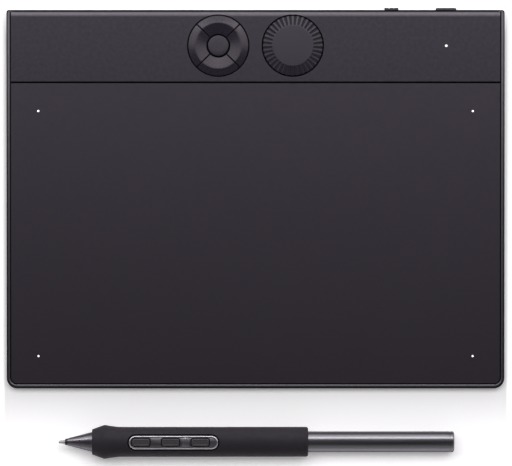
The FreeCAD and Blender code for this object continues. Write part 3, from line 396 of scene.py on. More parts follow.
switch_plastic = Finish("switch_plastic", rough=0.42, shine=0.45)
switch_plastic.colours((0.3, 3), (58, 56, 60), (64, 62, 66))
switch_plastic.roughness((1.5, 3), 0.38, 0.48)
switch_plastic.relief((7.0, 2), 0.003, 0.3)
print("materials", len(bpy.data.materials))

# %% [markdown]
# ## Dressing the CAD pieces
#
# Flat covers and small blocks are already right in shape, so they stay. Their one fault is
# that every edge is razor sharp, and a razor edge never catches the light. A short chain of
# modifiers mends that without touching the mesh: weld the loose corners, melt the triangles
# of each flat face into one, round the edges over, and even out the normals.

# %% Which node gets which finish
# Each row is a finish, the width in millimetres that edges are rounded over, and the nodes.
dressing = [
    (case_metal, 0.06, "bottom_case"),
    (sheet_film, 0.0, "drawing_surface"),
    (strip_plastic, 0.06, "control_panel"),
    (key_plastic, 0.08, "rear_key left_key front_key right_key power_button mode_slider"),
    (key_plastic, 0.06, "centre_key"),
    (dial_plastic, 0.0, "dial"),
    (light_rod, 0.0, "corner_lights status_light"),
    (light_rod, 0.05, "status_led"),
    (socket_steel, 0.04, "usb_socket"),
    (foot_rubber, 0.12, "rubber_feet"),
    (board_green, 0.0, "sensor_board main_board pen_board"),
    (tinned_steel, 0.0, "shield_plate"),
    (tinned_steel, 0.08, "pen_dome_switches"),
    (tinned_steel, 0.15, "controller_can wireless_module"),
    (inner_plastic, 0.0, "pen_core"),
    (inner_plastic, 0.05, "usb_tongue key_guide"),
    (inner_plastic, 0.06, "power_switch mode_switch pressure_sensor"),
    (inner_plastic, 0.08, "key_switches dial_encoder battery_plug ribbon_connector"),
    (battery_foil, 0.3, "battery"),
    (lead_sleeve, 0.1, "battery_lead"),
    (ribbon_film, 0.0, "sensor_ribbon"),
    (nib_plastic, 0.0, "pen_nib"),
    (nose_metal, 0.0, "pen_nose"),
    (grip_rubber, 0.0, "pen_grip"),
    (bezel_metal, 0.0, "switch_plate"),
    (switch_plastic, 0.06, "front_side_switch middle_side_switch rear_side_switch"),
    (tail_metal, 0.0, "pen_tail pen_end_cap"),
    (coil_copper, 0.0, "antenna_coil"),
]
print("nodes in the table", sum(len(names.split()) for _, _, names in dressing))

# %% Rounded edges and the dressing itself
def round_over(piece, width_mm, segments=3, angle=40):
    """Rounds the sharp edges of a piece by modifiers alone and evens out its shading."""
    bevel = piece.modifiers.new("round_over", "BEVEL")
    bevel.width = width_mm * MM
    bevel.segments = segments
    bevel.angle_limit = math.radians(angle)
    even = piece.modifiers.new("even_normals", "WEIGHTED_NORMAL")
    even.keep_sharp = True


def soften(node, width_mm):
    """Welds a CAD node's loose corners and melts its flat faces, then rounds its edges."""
    weld = node.modifiers.new("weld", "WELD")
    weld.merge_threshold = 0.002 * MM
    melt = node.modifiers.new("melt", "DECIMATE")
    melt.decimate_type = "DISSOLVE"
    melt.angle_limit = math.radians(0.4)
    round_over(node, width_mm, 2, 35)


left_over = set(nodes)
for finish, width_mm, names in dressing:
    for name in names.split():
        left_over.remove(name)
        nodes[name].data.materials.clear()
        nodes[name].data.materials.append(finish.material)
        if width_mm:
            soften(nodes[name], width_mm)
print("dressed", len(nodes) - len(left_over), "of", len(nodes), "left out", sorted(left_over))

# %% [markdown]
# ## Tools of the bench
#
# Most touchable pieces are turned parts, so the first tool is a lathe: it takes an outline as
# pairs of height and radius and spins it, round an upright line or the pen's own axis. The
# next rounds the corners of such an outline, because a real mould or cutter never leaves a
# perfectly sharp corner. A third makes plain blocks for stems and catches. The last one
# carries a finished mesh home: it turns millimetres on the bench into metres in the frame,
# shades the faces smooth up to a stated angle, ties the piece to its body and its finish,
# and hides the CAD nodes that it replaces.

# %% The lathe
def on_pen_axis(along, radius, angle):
    """A place on the pen bench, so far along the pen and so far out from its axis."""
    return Vector((along, radius * math.cos(angle), radius * math.sin(angle)))


def standing_at(x, y):
    """A lathe axis that stands upright on the bench at that place."""
    return lambda height, radius, angle: Vector(
        (x + radius * math.cos(angle), y + radius * math.sin(angle), height)
    )


def lathe(shape, outline, axis, steps):
    """Spins an outline of (along, radius) pairs round an axis."""
    rings = []
    for along, radius in outline:
        count = steps if radius > 1e-6 else 1
        turns = [2 * math.pi * index / steps for index in range(count)]
        rings.append([shape.verts.new(axis(along, radius, turn)) for turn in turns])
    for first, second in zip(rings, rings[1:]):
        for index in range(max(len(first), len(second))):
            after = index + 1
            corners = (
                first[index % len(first)],
                first[after % len(first)],
                second[after % len(second)],
                second[index % len(second)],
            )
            corners = list(dict.fromkeys(corners))
            if len(corners) > 2:
                shape.faces.new(corners)


def join_corners(shape):
    """Makes one of corners that lie on each other."""
    bmesh.ops.remove_doubles(shape, verts=shape.verts, dist=0.0005)


def turned(outline, steps, axis=on_pen_axis):
    """A new mesh from the lathe; an outline that ends where it starts is closed."""
    shape = bmesh.new()
    lathe(shape, outline, axis, steps)
    join_corners(shape)
    return shape


trial = turned([(0, 0), (2, 1), (2, 0)], 8)
print("a trial cone in 8 steps has", len(trial.verts), "corners")
trial.free()

# %% Rounded corners of an outline
def eased(points, steps=5):
    """Rounds each corner that names a reach, its third number, over that far both ways."""
    line = []
    for index, point in enumerate(points):
        here = Vector(point[:2])
        if len(point) < 3:
            line.append(here)
            continue
        start = here + (Vector(points[index - 1][:2]) - here).normalized() * point[2]
        end = here + (Vector(points[index + 1][:2]) - here).normalized() * point[2]
        for step in range(steps + 1):
            t = step / steps
            line.append(start * (1 - t) ** 2 + here * 2 * t * (1 - t) + end * t * t)
    return line


print("a corner eased over 1 mm has", len(eased([(0, 0), (5, 0, 1), (5, 5)])) - 2, "points")

# %% Plain blocks and the way home
def slab(shape, low, high, turn=0.0, pivot=(0, 0, 0)):
    """A plain closed block for a hidden stem or catch, turned about an upright line."""
    low, high = Vector(low), Vector(high)
    place = Matrix.Translation((low + high) / 2) @ Matrix.Diagonal((*(high - low), 1))
    swing = Matrix.Translation(pivot) @ Matrix.Rotation(turn, 4, "Z")
    bmesh.ops.create_cube(shape, size=1, matrix=swing @ place)


def bring_home(shape, name, bench, body, finish, replaces=(), sharp=35):
    """Makes a piece of the scene from a bench mesh."""
    bmesh.ops.recalc_face_normals(shape, faces=shape.faces)
    shape.transform(bench @ Matrix.Scale(MM, 4))
    for face in shape.faces:
        face.smooth = True
    mesh = bpy.data.meshes.new(name)
    shape.to_mesh(mesh)
    shape.free()
    mesh.set_sharp_from_angle(angle=math.radians(sharp))
    mesh.materials.append(finish.material)
    piece = bpy.data.objects.new(name, mesh)
    bpy.context.scene.collection.objects.link(piece)
    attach(piece, body)
    if replaces:
        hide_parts(*replaces)
    print(name, "corners", len(mesh.vertices), "faces", len(mesh.polygons))
    return piece


trial = bmesh.new()
slab(trial, (0, 0, 0), (3, 1, 1), math.pi / 2)
print("a block of 3 by 1 mm, turned, reaches y", round(max(v.co.y for v in trial.verts), 2))
trial.free()

# %% [markdown]
# ## The dial
#
# The dial is one moulded cap: a flat disc, a sloping band with thirty-six flat-topped ribs,
# and a skirt that drops into the well. A plain turned shape can't have ribs, so the cap is a
# net of columns. Each column is an outline from the middle to the skirt, and a number from 0
# on a rib to 1 in the bottom of a groove says how deep it is sunk. The shoulders of the ribs
# are rounded by a soft corner in that number.

# %% The columns of the dial
dial_radius, disc_radius = 12.95, 8.9
disc_height, edge_height = 1.3, 0.35
rib_count, columns_per_rib = 36, 18
groove_half, groove_depth, rim_bite = 0.33, 0.6, 0.2
rounded_bottom, rounded_top = 0.02, 0.09
shoulder_reach, shoulder_drop, shoulder_belly = 0.28, 0.32, 0.12
band_steps = (0, 0.008, 0.02, 0.04, 0.065, 0.1, 0.2, 0.35, 0.5, 0.65, 0.8, 0.92, 1)
groove_end = 0.065
disc_rings = [(3.0, disc_height), (6.5, disc_height), (8.5, disc_height)]
skirt_middle, skirt_bottom = -0.7, -1.3
hub = [(2.2, skirt_bottom), (2.2, -3.8), (2.0, -4.0)]


def groove_share(turn_in_ribs):
    """1 in the bottom of a groove, 0 on a rib, with rounded shoulders in between."""
    aside = math.hypot(turn_in_ribs % 1.0 - 0.5, rounded_bottom)
    fall = 1 - aside / groove_half
    return (fall + math.hypot(fall, rounded_top)) / 2


def eased_share(t):
    """From 0 to 1 with a soft start and a soft end."""
    return t * t * (3 - 2 * t)


def dial_column(share):
    """The outline of one column as (radius, height) pairs, from the disc to the skirt."""
    rim = dial_radius - rim_bite * share
    reach = rim - shoulder_reach - disc_radius
    column = []
    for step in band_steps:
        radius = disc_radius + step * reach
        fall = (disc_height - edge_height) * (radius - disc_radius) / (dial_radius - disc_radius)
        sunk = share * groove_depth * radius / dial_radius * eased_share(min(step / groove_end, 1))
        column.append((radius, disc_height - fall - sunk))
    top = column[-1][1]
    for t in (0.25, 0.5, 0.75, 1):
        radius = rim - shoulder_reach * (1 - t) ** 2
        column.append((radius, top - shoulder_belly * t * (1 - t) - shoulder_drop * t * t))
    return column + [(rim, skirt_middle), (rim, skirt_bottom)]


rim_heights = [round(dial_column(share)[-3][1], 2) for share in (0, 1)]
print("height at the rim on a rib and in a groove", rim_heights)

# %% The net of the dial
dial_cap = bmesh.new()
columns = rib_count * columns_per_rib
net = []
for index in range(columns):
    turn = 2 * math.pi * index / columns
    outline = disc_rings + dial_column(groove_share(index / columns_per_rib)) + hub
    net.append(
        [
            dial_cap.verts.new((r * math.cos(turn) + dial_x, r * math.sin(turn) + well_at, z))
            for r, z in outline
        ]
    )
for index in range(columns):
    here, beside = net[index], net[(index + 1) % columns]
    for low in range(len(here) - 1):
        dial_cap.faces.new((here[low], here[low + 1], beside[low + 1], beside[low]))
for row in (0, -1):
    dial_cap.faces.new([column[row] for column in net])
bring_home(dial_cap, "dial_cap", deck, "dial", dial_plastic, ["dial"], 50)

# %% [markdown]
# ## The ring of four keys and the centre key
#
# The ring is one turned shape, low at both edges with a crest two thirds of the way out,
# sharper on the front and rear key than on the side keys, and sawn into four. The saw cuts
# are parallel-sided, so each key is a net whose rows run round the ring and whose ends stop
# at the cut. Under the cap stand the stem and two catches, as in the CAD piece. The round key
# in the middle is a lathe piece with a soft shoulder.

# %% The rows of a ring key
ring_outer, ring_inner = 12.95, 5.1
saw_half, key_skirt = 0.22, -0.6
crest_at, crest_height, crest_steps = 10.0, 1.36, 24
inner_height, outer_height = 0.15, 0.25
sharp_crest, soft_crest = 0.05, 0.12


def crest_rows(soft):
    """Pairs of radius and height from the inner edge over the crest to the outer edge."""
    rows = []
    for step in range(crest_steps + 1):
        radius = ring_inner + (ring_outer - ring_inner) * step / crest_steps
        up = (crest_height - inner_height) * (radius - ring_inner) / (crest_at - ring_inner)
        down = (crest_height - outer_height) * (ring_outer - radius) / (ring_outer - crest_at)
        rise, fall = inner_height + up, outer_height + down
        rows.append((radius, (rise + fall) / 2 - math.hypot((rise - fall) / 2, soft)))
    return rows


def ring_row(shape, radius, height, turn, steps=48):
    """One row of a key: corners from one saw cut to the other at that radius."""
    reach = math.pi / 4 - math.asin(saw_half / radius)
    row = []
    for step in range(steps + 1):
        angle = turn + reach * (2 * step / steps - 1)
        spot = (ring_x + radius * math.cos(angle), well_at + radius * math.sin(angle), height)
        row.append(shape.verts.new(spot))
    return row


for soft in (sharp_crest, soft_crest):
    print("crest height", round(max(height for _, height in crest_rows(soft)), 3))

# %% Four keys from one ring
key_turns = {"right_key": 0, "rear_key": 90, "left_key": 180, "front_key": 270}
stem_box = (8.2, -0.8, -3.0), (9.8, 0.8, -0.5)
catch_boxes = [((11.35, -1.8, -1.95), (12.55, 1.8, -0.5))]
catch_boxes += [((11.35, -1.8, -1.95), (14.2, 1.8, -1.25))]
catch_turns = [math.radians(aside) for aside in (-30, 30)]
for name, degrees in key_turns.items():
    key = bmesh.new()
    turn = math.radians(degrees)
    outline = crest_rows(sharp_crest if name in ("rear_key", "front_key") else soft_crest)
    outline += [(ring_outer, key_skirt), (ring_inner, key_skirt)]
    rows = [ring_row(key, r, z, turn) for r, z in outline]
    for row, beyond in zip(rows, rows[1:] + rows[:1]):
        for step in range(len(row) - 1):
            key.faces.new((row[step], beyond[step], beyond[step + 1], row[step + 1]))
    for end in (0, -1):
        key.faces.new([row[end] for row in rows])
    pivot = (ring_x, well_at, 0)
    slab(key, *stem_box, turn, pivot)
    for aside in catch_turns:
        for box in catch_boxes:
            slab(key, *box, turn + aside, pivot)
    cap = bring_home(key, name + "_cap", deck, name, key_plastic, [name], 40)
    round_over(cap, 0.13)

# %% Centre key
centre_top, centre_base, centre_radius = 0.5, -1.2, 4.5
flange_half, centre_stem_half = 5.2, 0.8
outline = [(centre_top, 0.0), (centre_top, 2.0), (centre_top, centre_radius, 0.4)]
outline += [(centre_base, centre_radius), (centre_base, 0.0)]
centre = turned(eased(outline), 96, standing_at(ring_x, well_at))
for half, low, high in ((flange_half, -1.7, centre_base), (centre_stem_half, -3.0, -1.6)):
    slab(centre, (ring_x - half, well_at - half, low), (ring_x + half, well_at + half, high))
bring_home(centre, "centre_key_cap", deck, "centre_key", key_plastic, ["centre_key"], 40)

# %% [markdown]
# ## The slider in the rear wall
#
# The mode slider is a small moulded knob with three grip ribs, which are what shows beyond
# the rear edge from above. Its outline is drawn from above, with two shallow hollows in the
# outer face, and raised into a block. The shutter and the tab behind the wall stay plain.

# %% The knob's outline
knob_low, knob_high = [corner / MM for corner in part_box("mode_slider")]
knob_x, knob_face = (knob_low.x + knob_high.x) / 2, knob_high.y
knob_deep, knob_half, knob_bottom, knob_top = 2.45, 3.0, 2.2, 4.2
hollow_at, hollow_half, hollow_depth = 1.0, 0.62, 0.2
shutter_deep, shutter_bottom, shutter_top = 0.5, 1.7, 4.7
tab_half, tab_bottom, tab_top = 0.6, 3.25, 4.05
knob_inner = knob_face - knob_deep
shutter_inner = knob_inner - shutter_deep


def hollow(x):
    """Depth of the grip hollows, one to each side of the middle rib."""
    aside = abs(abs(x) - hollow_at) / hollow_half
    return hollow_depth * math.cos(min(aside, 1) * math.pi / 2) ** 2


face_steps = [step / 10 for step in range(-30, 31)]
knob_outline = [(knob_x - knob_half, knob_inner)]
knob_outline += [(knob_x + x, knob_face - hollow(x)) for x in face_steps]
knob_outline += [(knob_x + knob_half, knob_inner)]
print("points in the outline", len(knob_outline), "deepest hollow", max(map(hollow, face_steps)))

# %% Slider knob
def upright(shape, outline, low, high):
    """A closed block with that outline, seen from above, between two heights."""
    under, over = [
        [shape.verts.new((x, y, height)) for x, y in outline] for height in (low, high)
    ]
    for index in range(len(outline)):
        after = (index + 1) % len(outline)
        shape.faces.new((under[index], under[after], over[after], over[index]))
    shape.faces.new(under[::-1])
    shape.faces.new(over)


knob = bmesh.new()
upright(knob, knob_outline, knob_bottom, knob_top)
slab(knob, (knob_low.x, shutter_inner, shutter_bottom), (knob_high.x, knob_inner, shutter_top))
left, right = knob_x - tab_half, knob_x + tab_half
slab(knob, (left, knob_low.y, tab_bottom), (right, shutter_inner, tab_top))
level = Matrix.Identity(4)
knob = bring_home(knob, "slider_knob", level, "mode_slider", key_plastic, ["mode_slider"])
round_over(knob, 0.14)

# %% [markdown]
# ## The light dots
#
# Each dot is the end of a clear rod, ground round and left a trace domed so that it doesn't
# collect dust. A small lathe piece makes it. The four at the corners of the active area are
# one piece, as their rods are in the CAD, and the status light is another.

# %% Light dots
dot_radius, dot_bottom, dot_dome = 0.43, -0.78, 0.02
dot_outline = [(dot_dome, 0.0), (0.0, dot_radius, 0.06), (dot_bottom, dot_radius)]
dot_outline = eased(dot_outline + [(dot_bottom, 0.0)])


def light_dots(name, node, places):
    """Round rod ends at those places of the deck, in place of the node's plain posts."""
    dots = bmesh.new()
    for x, y in places:
        lathe(dots, dot_outline, standing_at(x, y), 32)
    bring_home(dots, name, deck, "tablet", light_rod, [node], 40)


mark_inset, mark_front, mark_rear = 13.75, 13.95, 119.75
mark_x = half_width - mark_inset
marks = [(side * mark_x, y) for side in (-1, 1) for y in (mark_front, mark_rear)]
light_dots("corner_light_dots", "corner_lights", marks)
light_dots("status_light_dot", "status_light", [middle_on_deck("status_light")])

# %% [markdown]
# ## The dark line of every joint
#
# What lies in a joint can't be seen, and every joint is a thin black line. So the bottom of
# each joint gets a black piece that paints the shade in it: a strip round the sheet and the
# panel, one across under the seam between them and one along the rear wall, a band in each
# round well, a thin web in each saw cut between the keys, and a ring on the flange of the
# centre key.

# %% Painted joint shade and the way round the covers
# Near black with no shine: the colour of all painted shade in joints and gaps.
shade_black = Finish("painted_joint_shade", rough=0.95, shine=0.0)
shade_black.colours((1.5, 3), (4, 4, 5), (9, 9, 10))
shade_black.roughness((3.0, 2), 0.9, 1.0)
shade_black.relief((6.0, 2), 0.01, 0.4)

cover_half, joint, shade_clearance = 105.55, 0.45, 0.02
cover_front, cover_rear, inner_corner = 2.15, 162.7, 2.55


def joint_path(aside):
    """The way round the covers, from the rear left corner to the rear right one."""
    edge, front, radius = cover_half + aside, cover_front - aside, inner_corner + aside
    path = [Vector((-edge, cover_rear))]
    for side, first in ((-1, 180), (1, 270)):
        middle = Vector((side * (edge - radius), front + radius))
        for step in range(9):
            angle = math.radians(first + 90 * step / 8)
            path.append(middle + Vector((math.cos(angle), math.sin(angle))) * radius)
    return path + [Vector((edge, cover_rear))]


def strip_between(shape, inner, outer, low, high):
    """A closed strip of painted shade between two paths that run side by side."""
    rings = []
    for near, away in zip(inner, outer):
        corners = ((*near, high), (*away, high), (*away, low), (*near, low))
        rings.append([shape.verts.new(corner) for corner in corners])
    for here, beyond in zip(rings, rings[1:]):
        for index in range(4):
            after = (index + 1) % 4
            shape.faces.new((here[index], here[after], beyond[after], beyond[index]))
    shape.faces.new(rings[0])
    shape.faces.new(rings[-1])


def band(low, high, inner, outer):
    """The outline of a flat ring for the lathe, closed on itself."""
    return [(low, inner), (low, outer), (high, outer), (high, inner), (low, inner)]


print("corners along the joint", len(joint_path(0)))

# %% Black strips of painted shade in the joints
strip_bottom, strip_top = -0.76, -0.5

# Strips that run across: front and rear edge, bottom and top. Then the webs of the saw cuts.
across = [(131.77, 132.43, -0.78, strip_top), (162.93, 163.36, -1.54, -1.2)]
web_boxes = [((5.3, -0.17, -1.1), (12.85, 0.17, -0.12)), ((7.7, -0.17, -2.5), (9.6, 0.17, -1.1))]

shade_strips = bmesh.new()
inner_path, outer_path = joint_path(shade_clearance), joint_path(joint - shade_clearance)
strip_between(shade_strips, inner_path, outer_path, strip_bottom, strip_top)
for front, rear, low, high in across:
    slab(shade_strips, (-cover_half, front, low), (cover_half, rear, high))
well_band = band(-1.0, -1.16, 13.0, 13.42)
for x in (ring_x, dial_x):
    lathe(shade_strips, well_band, standing_at(x, well_at), 96)
join_corners(shade_strips)
for degrees in (45, 135, 225, 315):
    for box in web_boxes:
        slab(shade_strips, *box, math.radians(degrees), (ring_x, well_at, 0))
bring_home(shade_strips, "joint_shade_strips", deck, "tablet", shade_black)

flange_band = band(centre_base, -0.42, 4.52, 5.04)
centre_shade_ring = turned(flange_band, 96, standing_at(ring_x, well_at))
bring_home(centre_shade_ring, "centre_key_shade_ring", deck, "centre_key", shade_black)

# %% [markdown]
# ## The nib and the turned nose
#
# The nib is a pin of hard plastic, ground to a soft point. The nose is turned from metal: a
# short black ring holds the mouth, a fine step follows it, and then the cone widens until it
# slips into the grip. Both are lathe pieces, and the fine rings that the cutter left on the
# cone are in its finish.

# %% Nib, nose ring and nose cone
nib_end, nib_radius, nose_bore = 31.0, 0.87, 0.99
ring_start, ring_end, nose_end = 2.75, 3.75, 14.4

nib_edge = [(0.0, 0.0), (0.0, 0.52, 0.22), (2.25, nib_radius, 0.3)]
nib_edge += [(nib_end, nib_radius), (nib_end, 0.0)]
nib = turned(eased(nib_edge, 8), 48)
bring_home(nib, "nib_pin", pen_bench, "nib", nib_plastic, ["pen_nib"])

ring_edge = [(ring_start, nose_bore), (ring_start, 1.27, 0.08), (ring_end, 1.52, 0.06)]
ring_edge += [(ring_end, nose_bore), (ring_start, nose_bore)]
ring = turned(eased(ring_edge), 64)
bring_home(ring, "nose_ring", pen_bench, "pen", inner_plastic)

cone_edge = [(ring_end, nose_bore), (ring_end, 1.46), (4.0, 1.46), (4.0, 1.6, 0.05)]
cone_edge += [(13.6, 4.09, 0.05), (13.6, 4.0), (13.9, 4.07), (13.9, 4.16, 0.04)]
cone_edge += [(nose_end, 4.29), (nose_end, nose_bore), (ring_end, nose_bore)]
cone = turned(eased(cone_edge), 128)
bring_home(cone, "nose_cone", pen_bench, "pen", nose_metal, ["pen_nose"], 25)

# %% [markdown]
# ## The grip
#
# The sleeve is soft rubber, moulded round a barrel. Its front flares out to stop the fingers,
# then falls in one long hollow curve to the straight barrel. A lathe makes the sleeve, and a
# cutter in the shape of a long slot with round ends opens the window for the switches. The
# window is a little wider than the bezel in it, which leaves the dark line seen all round.

# %% Grip sleeve
sleeve_end, sleeve_bore = 107.5, 4.8

# How far the neck behind the flare stands above the straight barrel.
neck = [(20.2, 0.82), (20.6, 0.75), (21.2, 0.64), (21.9, 0.52), (22.7, 0.4), (23.6, 0.29)]
neck += [(24.5, 0.18), (25.4, 0.09), (26.3, 0.03), (27.2, 0.0)]
sleeve_edge = [(nose_end, sleeve_bore), (nose_end, 5.42, 0.12), (19.5, flare_radius, 0.4)]
sleeve_edge += [(x, barrel_radius + rise) for x, rise in neck]
sleeve_edge += [(x, barrel_radius) for x in range(29, 106, 2)]
sleeve_edge += [(sleeve_end, barrel_radius, 1.0), (sleeve_end, sleeve_bore)]
sleeve_edge += [(nose_end, sleeve_bore)]
sleeve = turned(eased(sleeve_edge), 160)
grip = bring_home(sleeve, "grip_sleeve", pen_bench, "pen", grip_rubber, ["pen_grip"])

# %% The window in the sleeve
bezel_length, bezel_width, bezel_middle = 38.4, 5.8, 49.5
window_gap, window_floor, window_roof = 0.62, 3.0, 9.0
window_length, window_width = bezel_length + 2 * window_gap, bezel_width + 2 * window_gap


def soft_box(length, width, corner, inset=0.0, steps=10):
    """Points round a box with round corners, drawn in by an inset."""
    points = []
    for quarter, (side_x, side_y) in enumerate(((1, 1), (-1, 1), (-1, -1), (1, -1))):
        for step in range(steps + 1):
            angle = math.pi / 2 * (quarter + step / steps)
            x = side_x * (length / 2 - corner) + (corner - inset) * math.cos(angle)
            y = side_y * (width / 2 - corner) + (corner - inset) * math.sin(angle)
            points.append(Vector((x, y)))
    return points


def cut_out(piece, cutter_mesh):
    """Takes the cutter's form out of a piece for good, on the spot."""
    cutter = bpy.data.objects.new("cutter", cutter_mesh)
    bpy.context.scene.collection.objects.link(cutter)
    cut = piece.modifiers.new("cut", "BOOLEAN")
    cut.operation, cut.solver, cut.object = "DIFFERENCE", "EXACT", cutter
    seen = piece.evaluated_get(bpy.context.evaluated_depsgraph_get())
    old, piece.data = piece.data, bpy.data.meshes.new_from_object(seen)
    piece.modifiers.clear()
    bpy.data.objects.remove(cutter)
    bpy.data.meshes.remove(old)


window = bmesh.new()
outline = soft_box(window_length, window_width, window_width / 2, 0.0, 20)
outline = [point + Vector((bezel_middle, 0)) for point in outline]
upright(window, outline, window_floor, window_roof)
join_corners(window)
window.transform(pen_bench @ Matrix.Scale(MM, 4))
window_mesh = bpy.data.meshes.new("window")
window.to_mesh(window_mesh)
window.free()
cut_out(grip, window_mesh)
round_over(grip, 0.22, 3, 45)
print("sleeve faces with the window", len(grip.data.polygons))

# %% [markdown]
# ## Sheets with a shaped top
#
# The bezel of the switches and their caps are slim pieces. Their tops follow the round of the
# barrel and have rims and dishes that rounding an edge can't give. So they are made as sheets:
# outlines are laid down flat, the space between them is filled with triangles, and each
# corner is lifted to the height that its distance from the edge asks for.

# %% Distance from an edge and divided loops
def depth_in(x, y, length, width, corner):
    """How far inside a box with round corners a point lies; outside it is negative."""
    over_x = abs(x) - (length / 2 - corner)
    over_y = abs(y) - (width / 2 - corner)
    outside = math.hypot(max(over_x, 0), max(over_y, 0))
    return corner - outside - min(max(over_x, over_y), 0)


def divided(loop, longest=0.5):
    """The same loop with its long sides divided."""
    points = []
    for here, after in zip(loop, loop[1:] + loop[:1]):
        parts = max(1, math.ceil((after - here).length / longest))
        points += [here.lerp(after, part / parts) for part in range(parts)]
    return points


print("1 mm inside a box of 8 by 4 mm:", round(depth_in(0, 1, 8, 4, 1), 3))
print("points round a slot of 8 by 4 mm:", len(divided(soft_box(8, 4, 2))))

# %% A plate with a shaped top
def shaped_plate(shape, loops, holds, top, bottom, middle_x):
    """Fills the loops with triangles, lifts the top and closes sides and bottom.

    holds says whether there is material at a place, top gives the height there.
    """
    grid_x, grid_y, clear = 0.6, 0.35, 0.16
    points, edges = [], []
    for loop in loops:
        loop, start = divided(loop), len(points)
        points += loop
        edges += [(start + i, start + (i + 1) % len(loop)) for i in range(len(loop))]
    reach_x = max(point.x for point in points)
    reach_y = max(point.y for point in points)
    across, along = math.ceil(reach_x / grid_x), math.ceil(reach_y / grid_y)
    for i in range(-across, across + 1):
        for j in range(-along, along + 1):
            spot = Vector((i * reach_x / across, j * reach_y / along))
            if holds(*spot) and min((spot - point).length for point in points) > clear:
                points.append(spot)
    flat, _, faces, *_ = geometry.delaunay_2d_cdt(points, edges, [], 0, 1e-4)
    upper = [shape.verts.new((p.x + middle_x, p.y, top(p.x, p.y))) for p in flat]
    lower = [shape.verts.new((p.x + middle_x, p.y, bottom)) for p in flat]
    kept = [face for face in faces if holds(*(sum((flat[i] for i in face), Vector((0, 0))) / 3))]
    for face in kept:
        shape.faces.new([upper[i] for i in face])
        shape.faces.new([lower[i] for i in reversed(face)])
    sides = {(a, b) for face in kept for a, b in zip(face, face[1:] + face[:1])}
    for a, b in sides:
        if (b, a) not in sides:
            shape.faces.new((upper[b], upper[a], lower[a], lower[b]))
    bmesh.ops.delete(shape, geom=[v for v in shape.verts if not v.link_faces], context="VERTS")


trial = bmesh.new()
shaped_plate(
    trial, [soft_box(8, 4, 2)], lambda x, y: depth_in(x, y, 8, 4, 2) > 0, lambda x, y: 1, 0, 0
)
print("a trial plate of 8 by 4 mm has", len(trial.faces), "faces")
trial.free()

# %% [markdown]
# ## The switch bezel
#
# The bezel is a metal plate with round ends and an opening for each switch. A raised rim runs
# round its edge, polished and paler, with its colour raised as a painted highlight, and three
# low ridges between two openings tell the finger where it is. In the gap round the bezel lies
# a black sheet of painted shade, a little deeper than the surface of the grip.

# %% The form of the bezel
cap_length, cap_width, cap_corner = 8.3, 4.0, 1.35
cap_places, cap_spacing = {"front": 35.5, "middle": 48.26, "rear": 61.02}, 12.76
bezel_round, rim_width, rim_rise = 6.6, 0.62, 0.17
edge_fall, edge_reach = 0.16, 0.12
lip_fall, lip_reach = 0.12, 0.15
ridge_rise, ridge_reach, ridge_slope = 0.12, 1.9, 2.4
ridges_at = cap_places["middle"] + cap_spacing / 2 - bezel_middle
bezel_bottom, bezel_skirt = 5.2, 5.3
bright_from, bright_to = 0.03, 0.46
opening_offsets = [place - bezel_middle for place in cap_places.values()]


def depth_in_opening(x, y):
    """How far inside the nearest opening a place of the bezel lies."""
    return max(depth_in(x - at, y, cap_length, cap_width, cap_corner) for at in opening_offsets)


def depth_in_bezel(x, y):
    return depth_in(x, y, bezel_length, bezel_width, bezel_width / 2)


def bezel_holds(x, y):
    return depth_in_bezel(x, y) > 0 and depth_in_opening(x, y) < 0


def tactile_ridges(x):
    """Three low ridges between the middle and the rear switch, for the fingertip."""
    asides = [ridge_slope * (x - ridges_at - at) for at in (-1, 0, 1)]
    return ridge_rise * max(0, max(1 - aside**2 for aside in asides))


def bezel_top(x, y):
    """The round of the barrel with the rim, eased at the edge and at the openings."""
    from_edge, to_opening = max(depth_in_bezel(x, y), 0), -depth_in_opening(x, y)
    height = math.sqrt(bezel_round**2 - y * y)
    height += rim_rise * math.sin(math.pi * min(from_edge / rim_width, 1))
    height -= edge_fall * max(0, 1 - from_edge / edge_reach) ** 2
    height -= lip_fall * max(0, 1 - max(to_opening, 0) / lip_reach) ** 2
    return height + (tactile_ridges(x) if abs(y) < ridge_reach and to_opening > lip_reach else 0)


print("ridges at", round(ridges_at, 2), "stand", round(tactile_ridges(ridges_at), 2), "mm high")

# %% Switch bezel with its painted rim highlight
bezel = bmesh.new()
insets = (0, 0.04, 0.09, 0.16, 0.24, 0.31, 0.38, 0.46, 0.54, 0.62)
loops = [soft_box(bezel_length, bezel_width, bezel_width / 2, inset, 14) for inset in insets]
for at in opening_offsets:
    for inset in (0, -0.05, -0.1, -0.16):
        loop = soft_box(cap_length, cap_width, cap_corner, inset)
        loops.append([point + Vector((at, 0)) for point in loop])
for step in range(-7, 8):
    x = ridges_at + step / 5
    loops.append([Vector((x, y / 5)) for y in range(-9, 10)] + [Vector((x + 0.01, 0.9))])
shaped_plate(bezel, loops, bezel_holds, bezel_top, bezel_bottom, bezel_middle)
for face in bezel.faces:
    spot = face.calc_center_median()
    on_rim = bright_from < depth_in_bezel(spot.x - bezel_middle, spot.y) < bright_to
    face.material_index = 1 if on_rim and spot.z > bezel_skirt else 0
bezel_piece = bring_home(
    bezel, "switch_bezel", pen_bench, "pen", bezel_metal, ["switch_plate"], 45
)
bezel_piece.data.materials.append(rim_highlight_metal.material)

# %% The painted shade in the gap round the bezel
# A black sheet in the gap round the bezel paints the shade that falls there.
gap_shade = bmesh.new()
gap_shade_play, gap_shade_round, gap_shade_bottom = 0.04, 6.15, 4.9
outer_length, outer_width = window_length - gap_shade_play, window_width - gap_shade_play
inner_length, inner_width = bezel_length + gap_shade_play, bezel_width + gap_shade_play


def gap_shade_holds(x, y):
    outside = depth_in(x, y, inner_length, inner_width, inner_width / 2) < 0
    return outside and depth_in(x, y, outer_length, outer_width, outer_width / 2) > 0


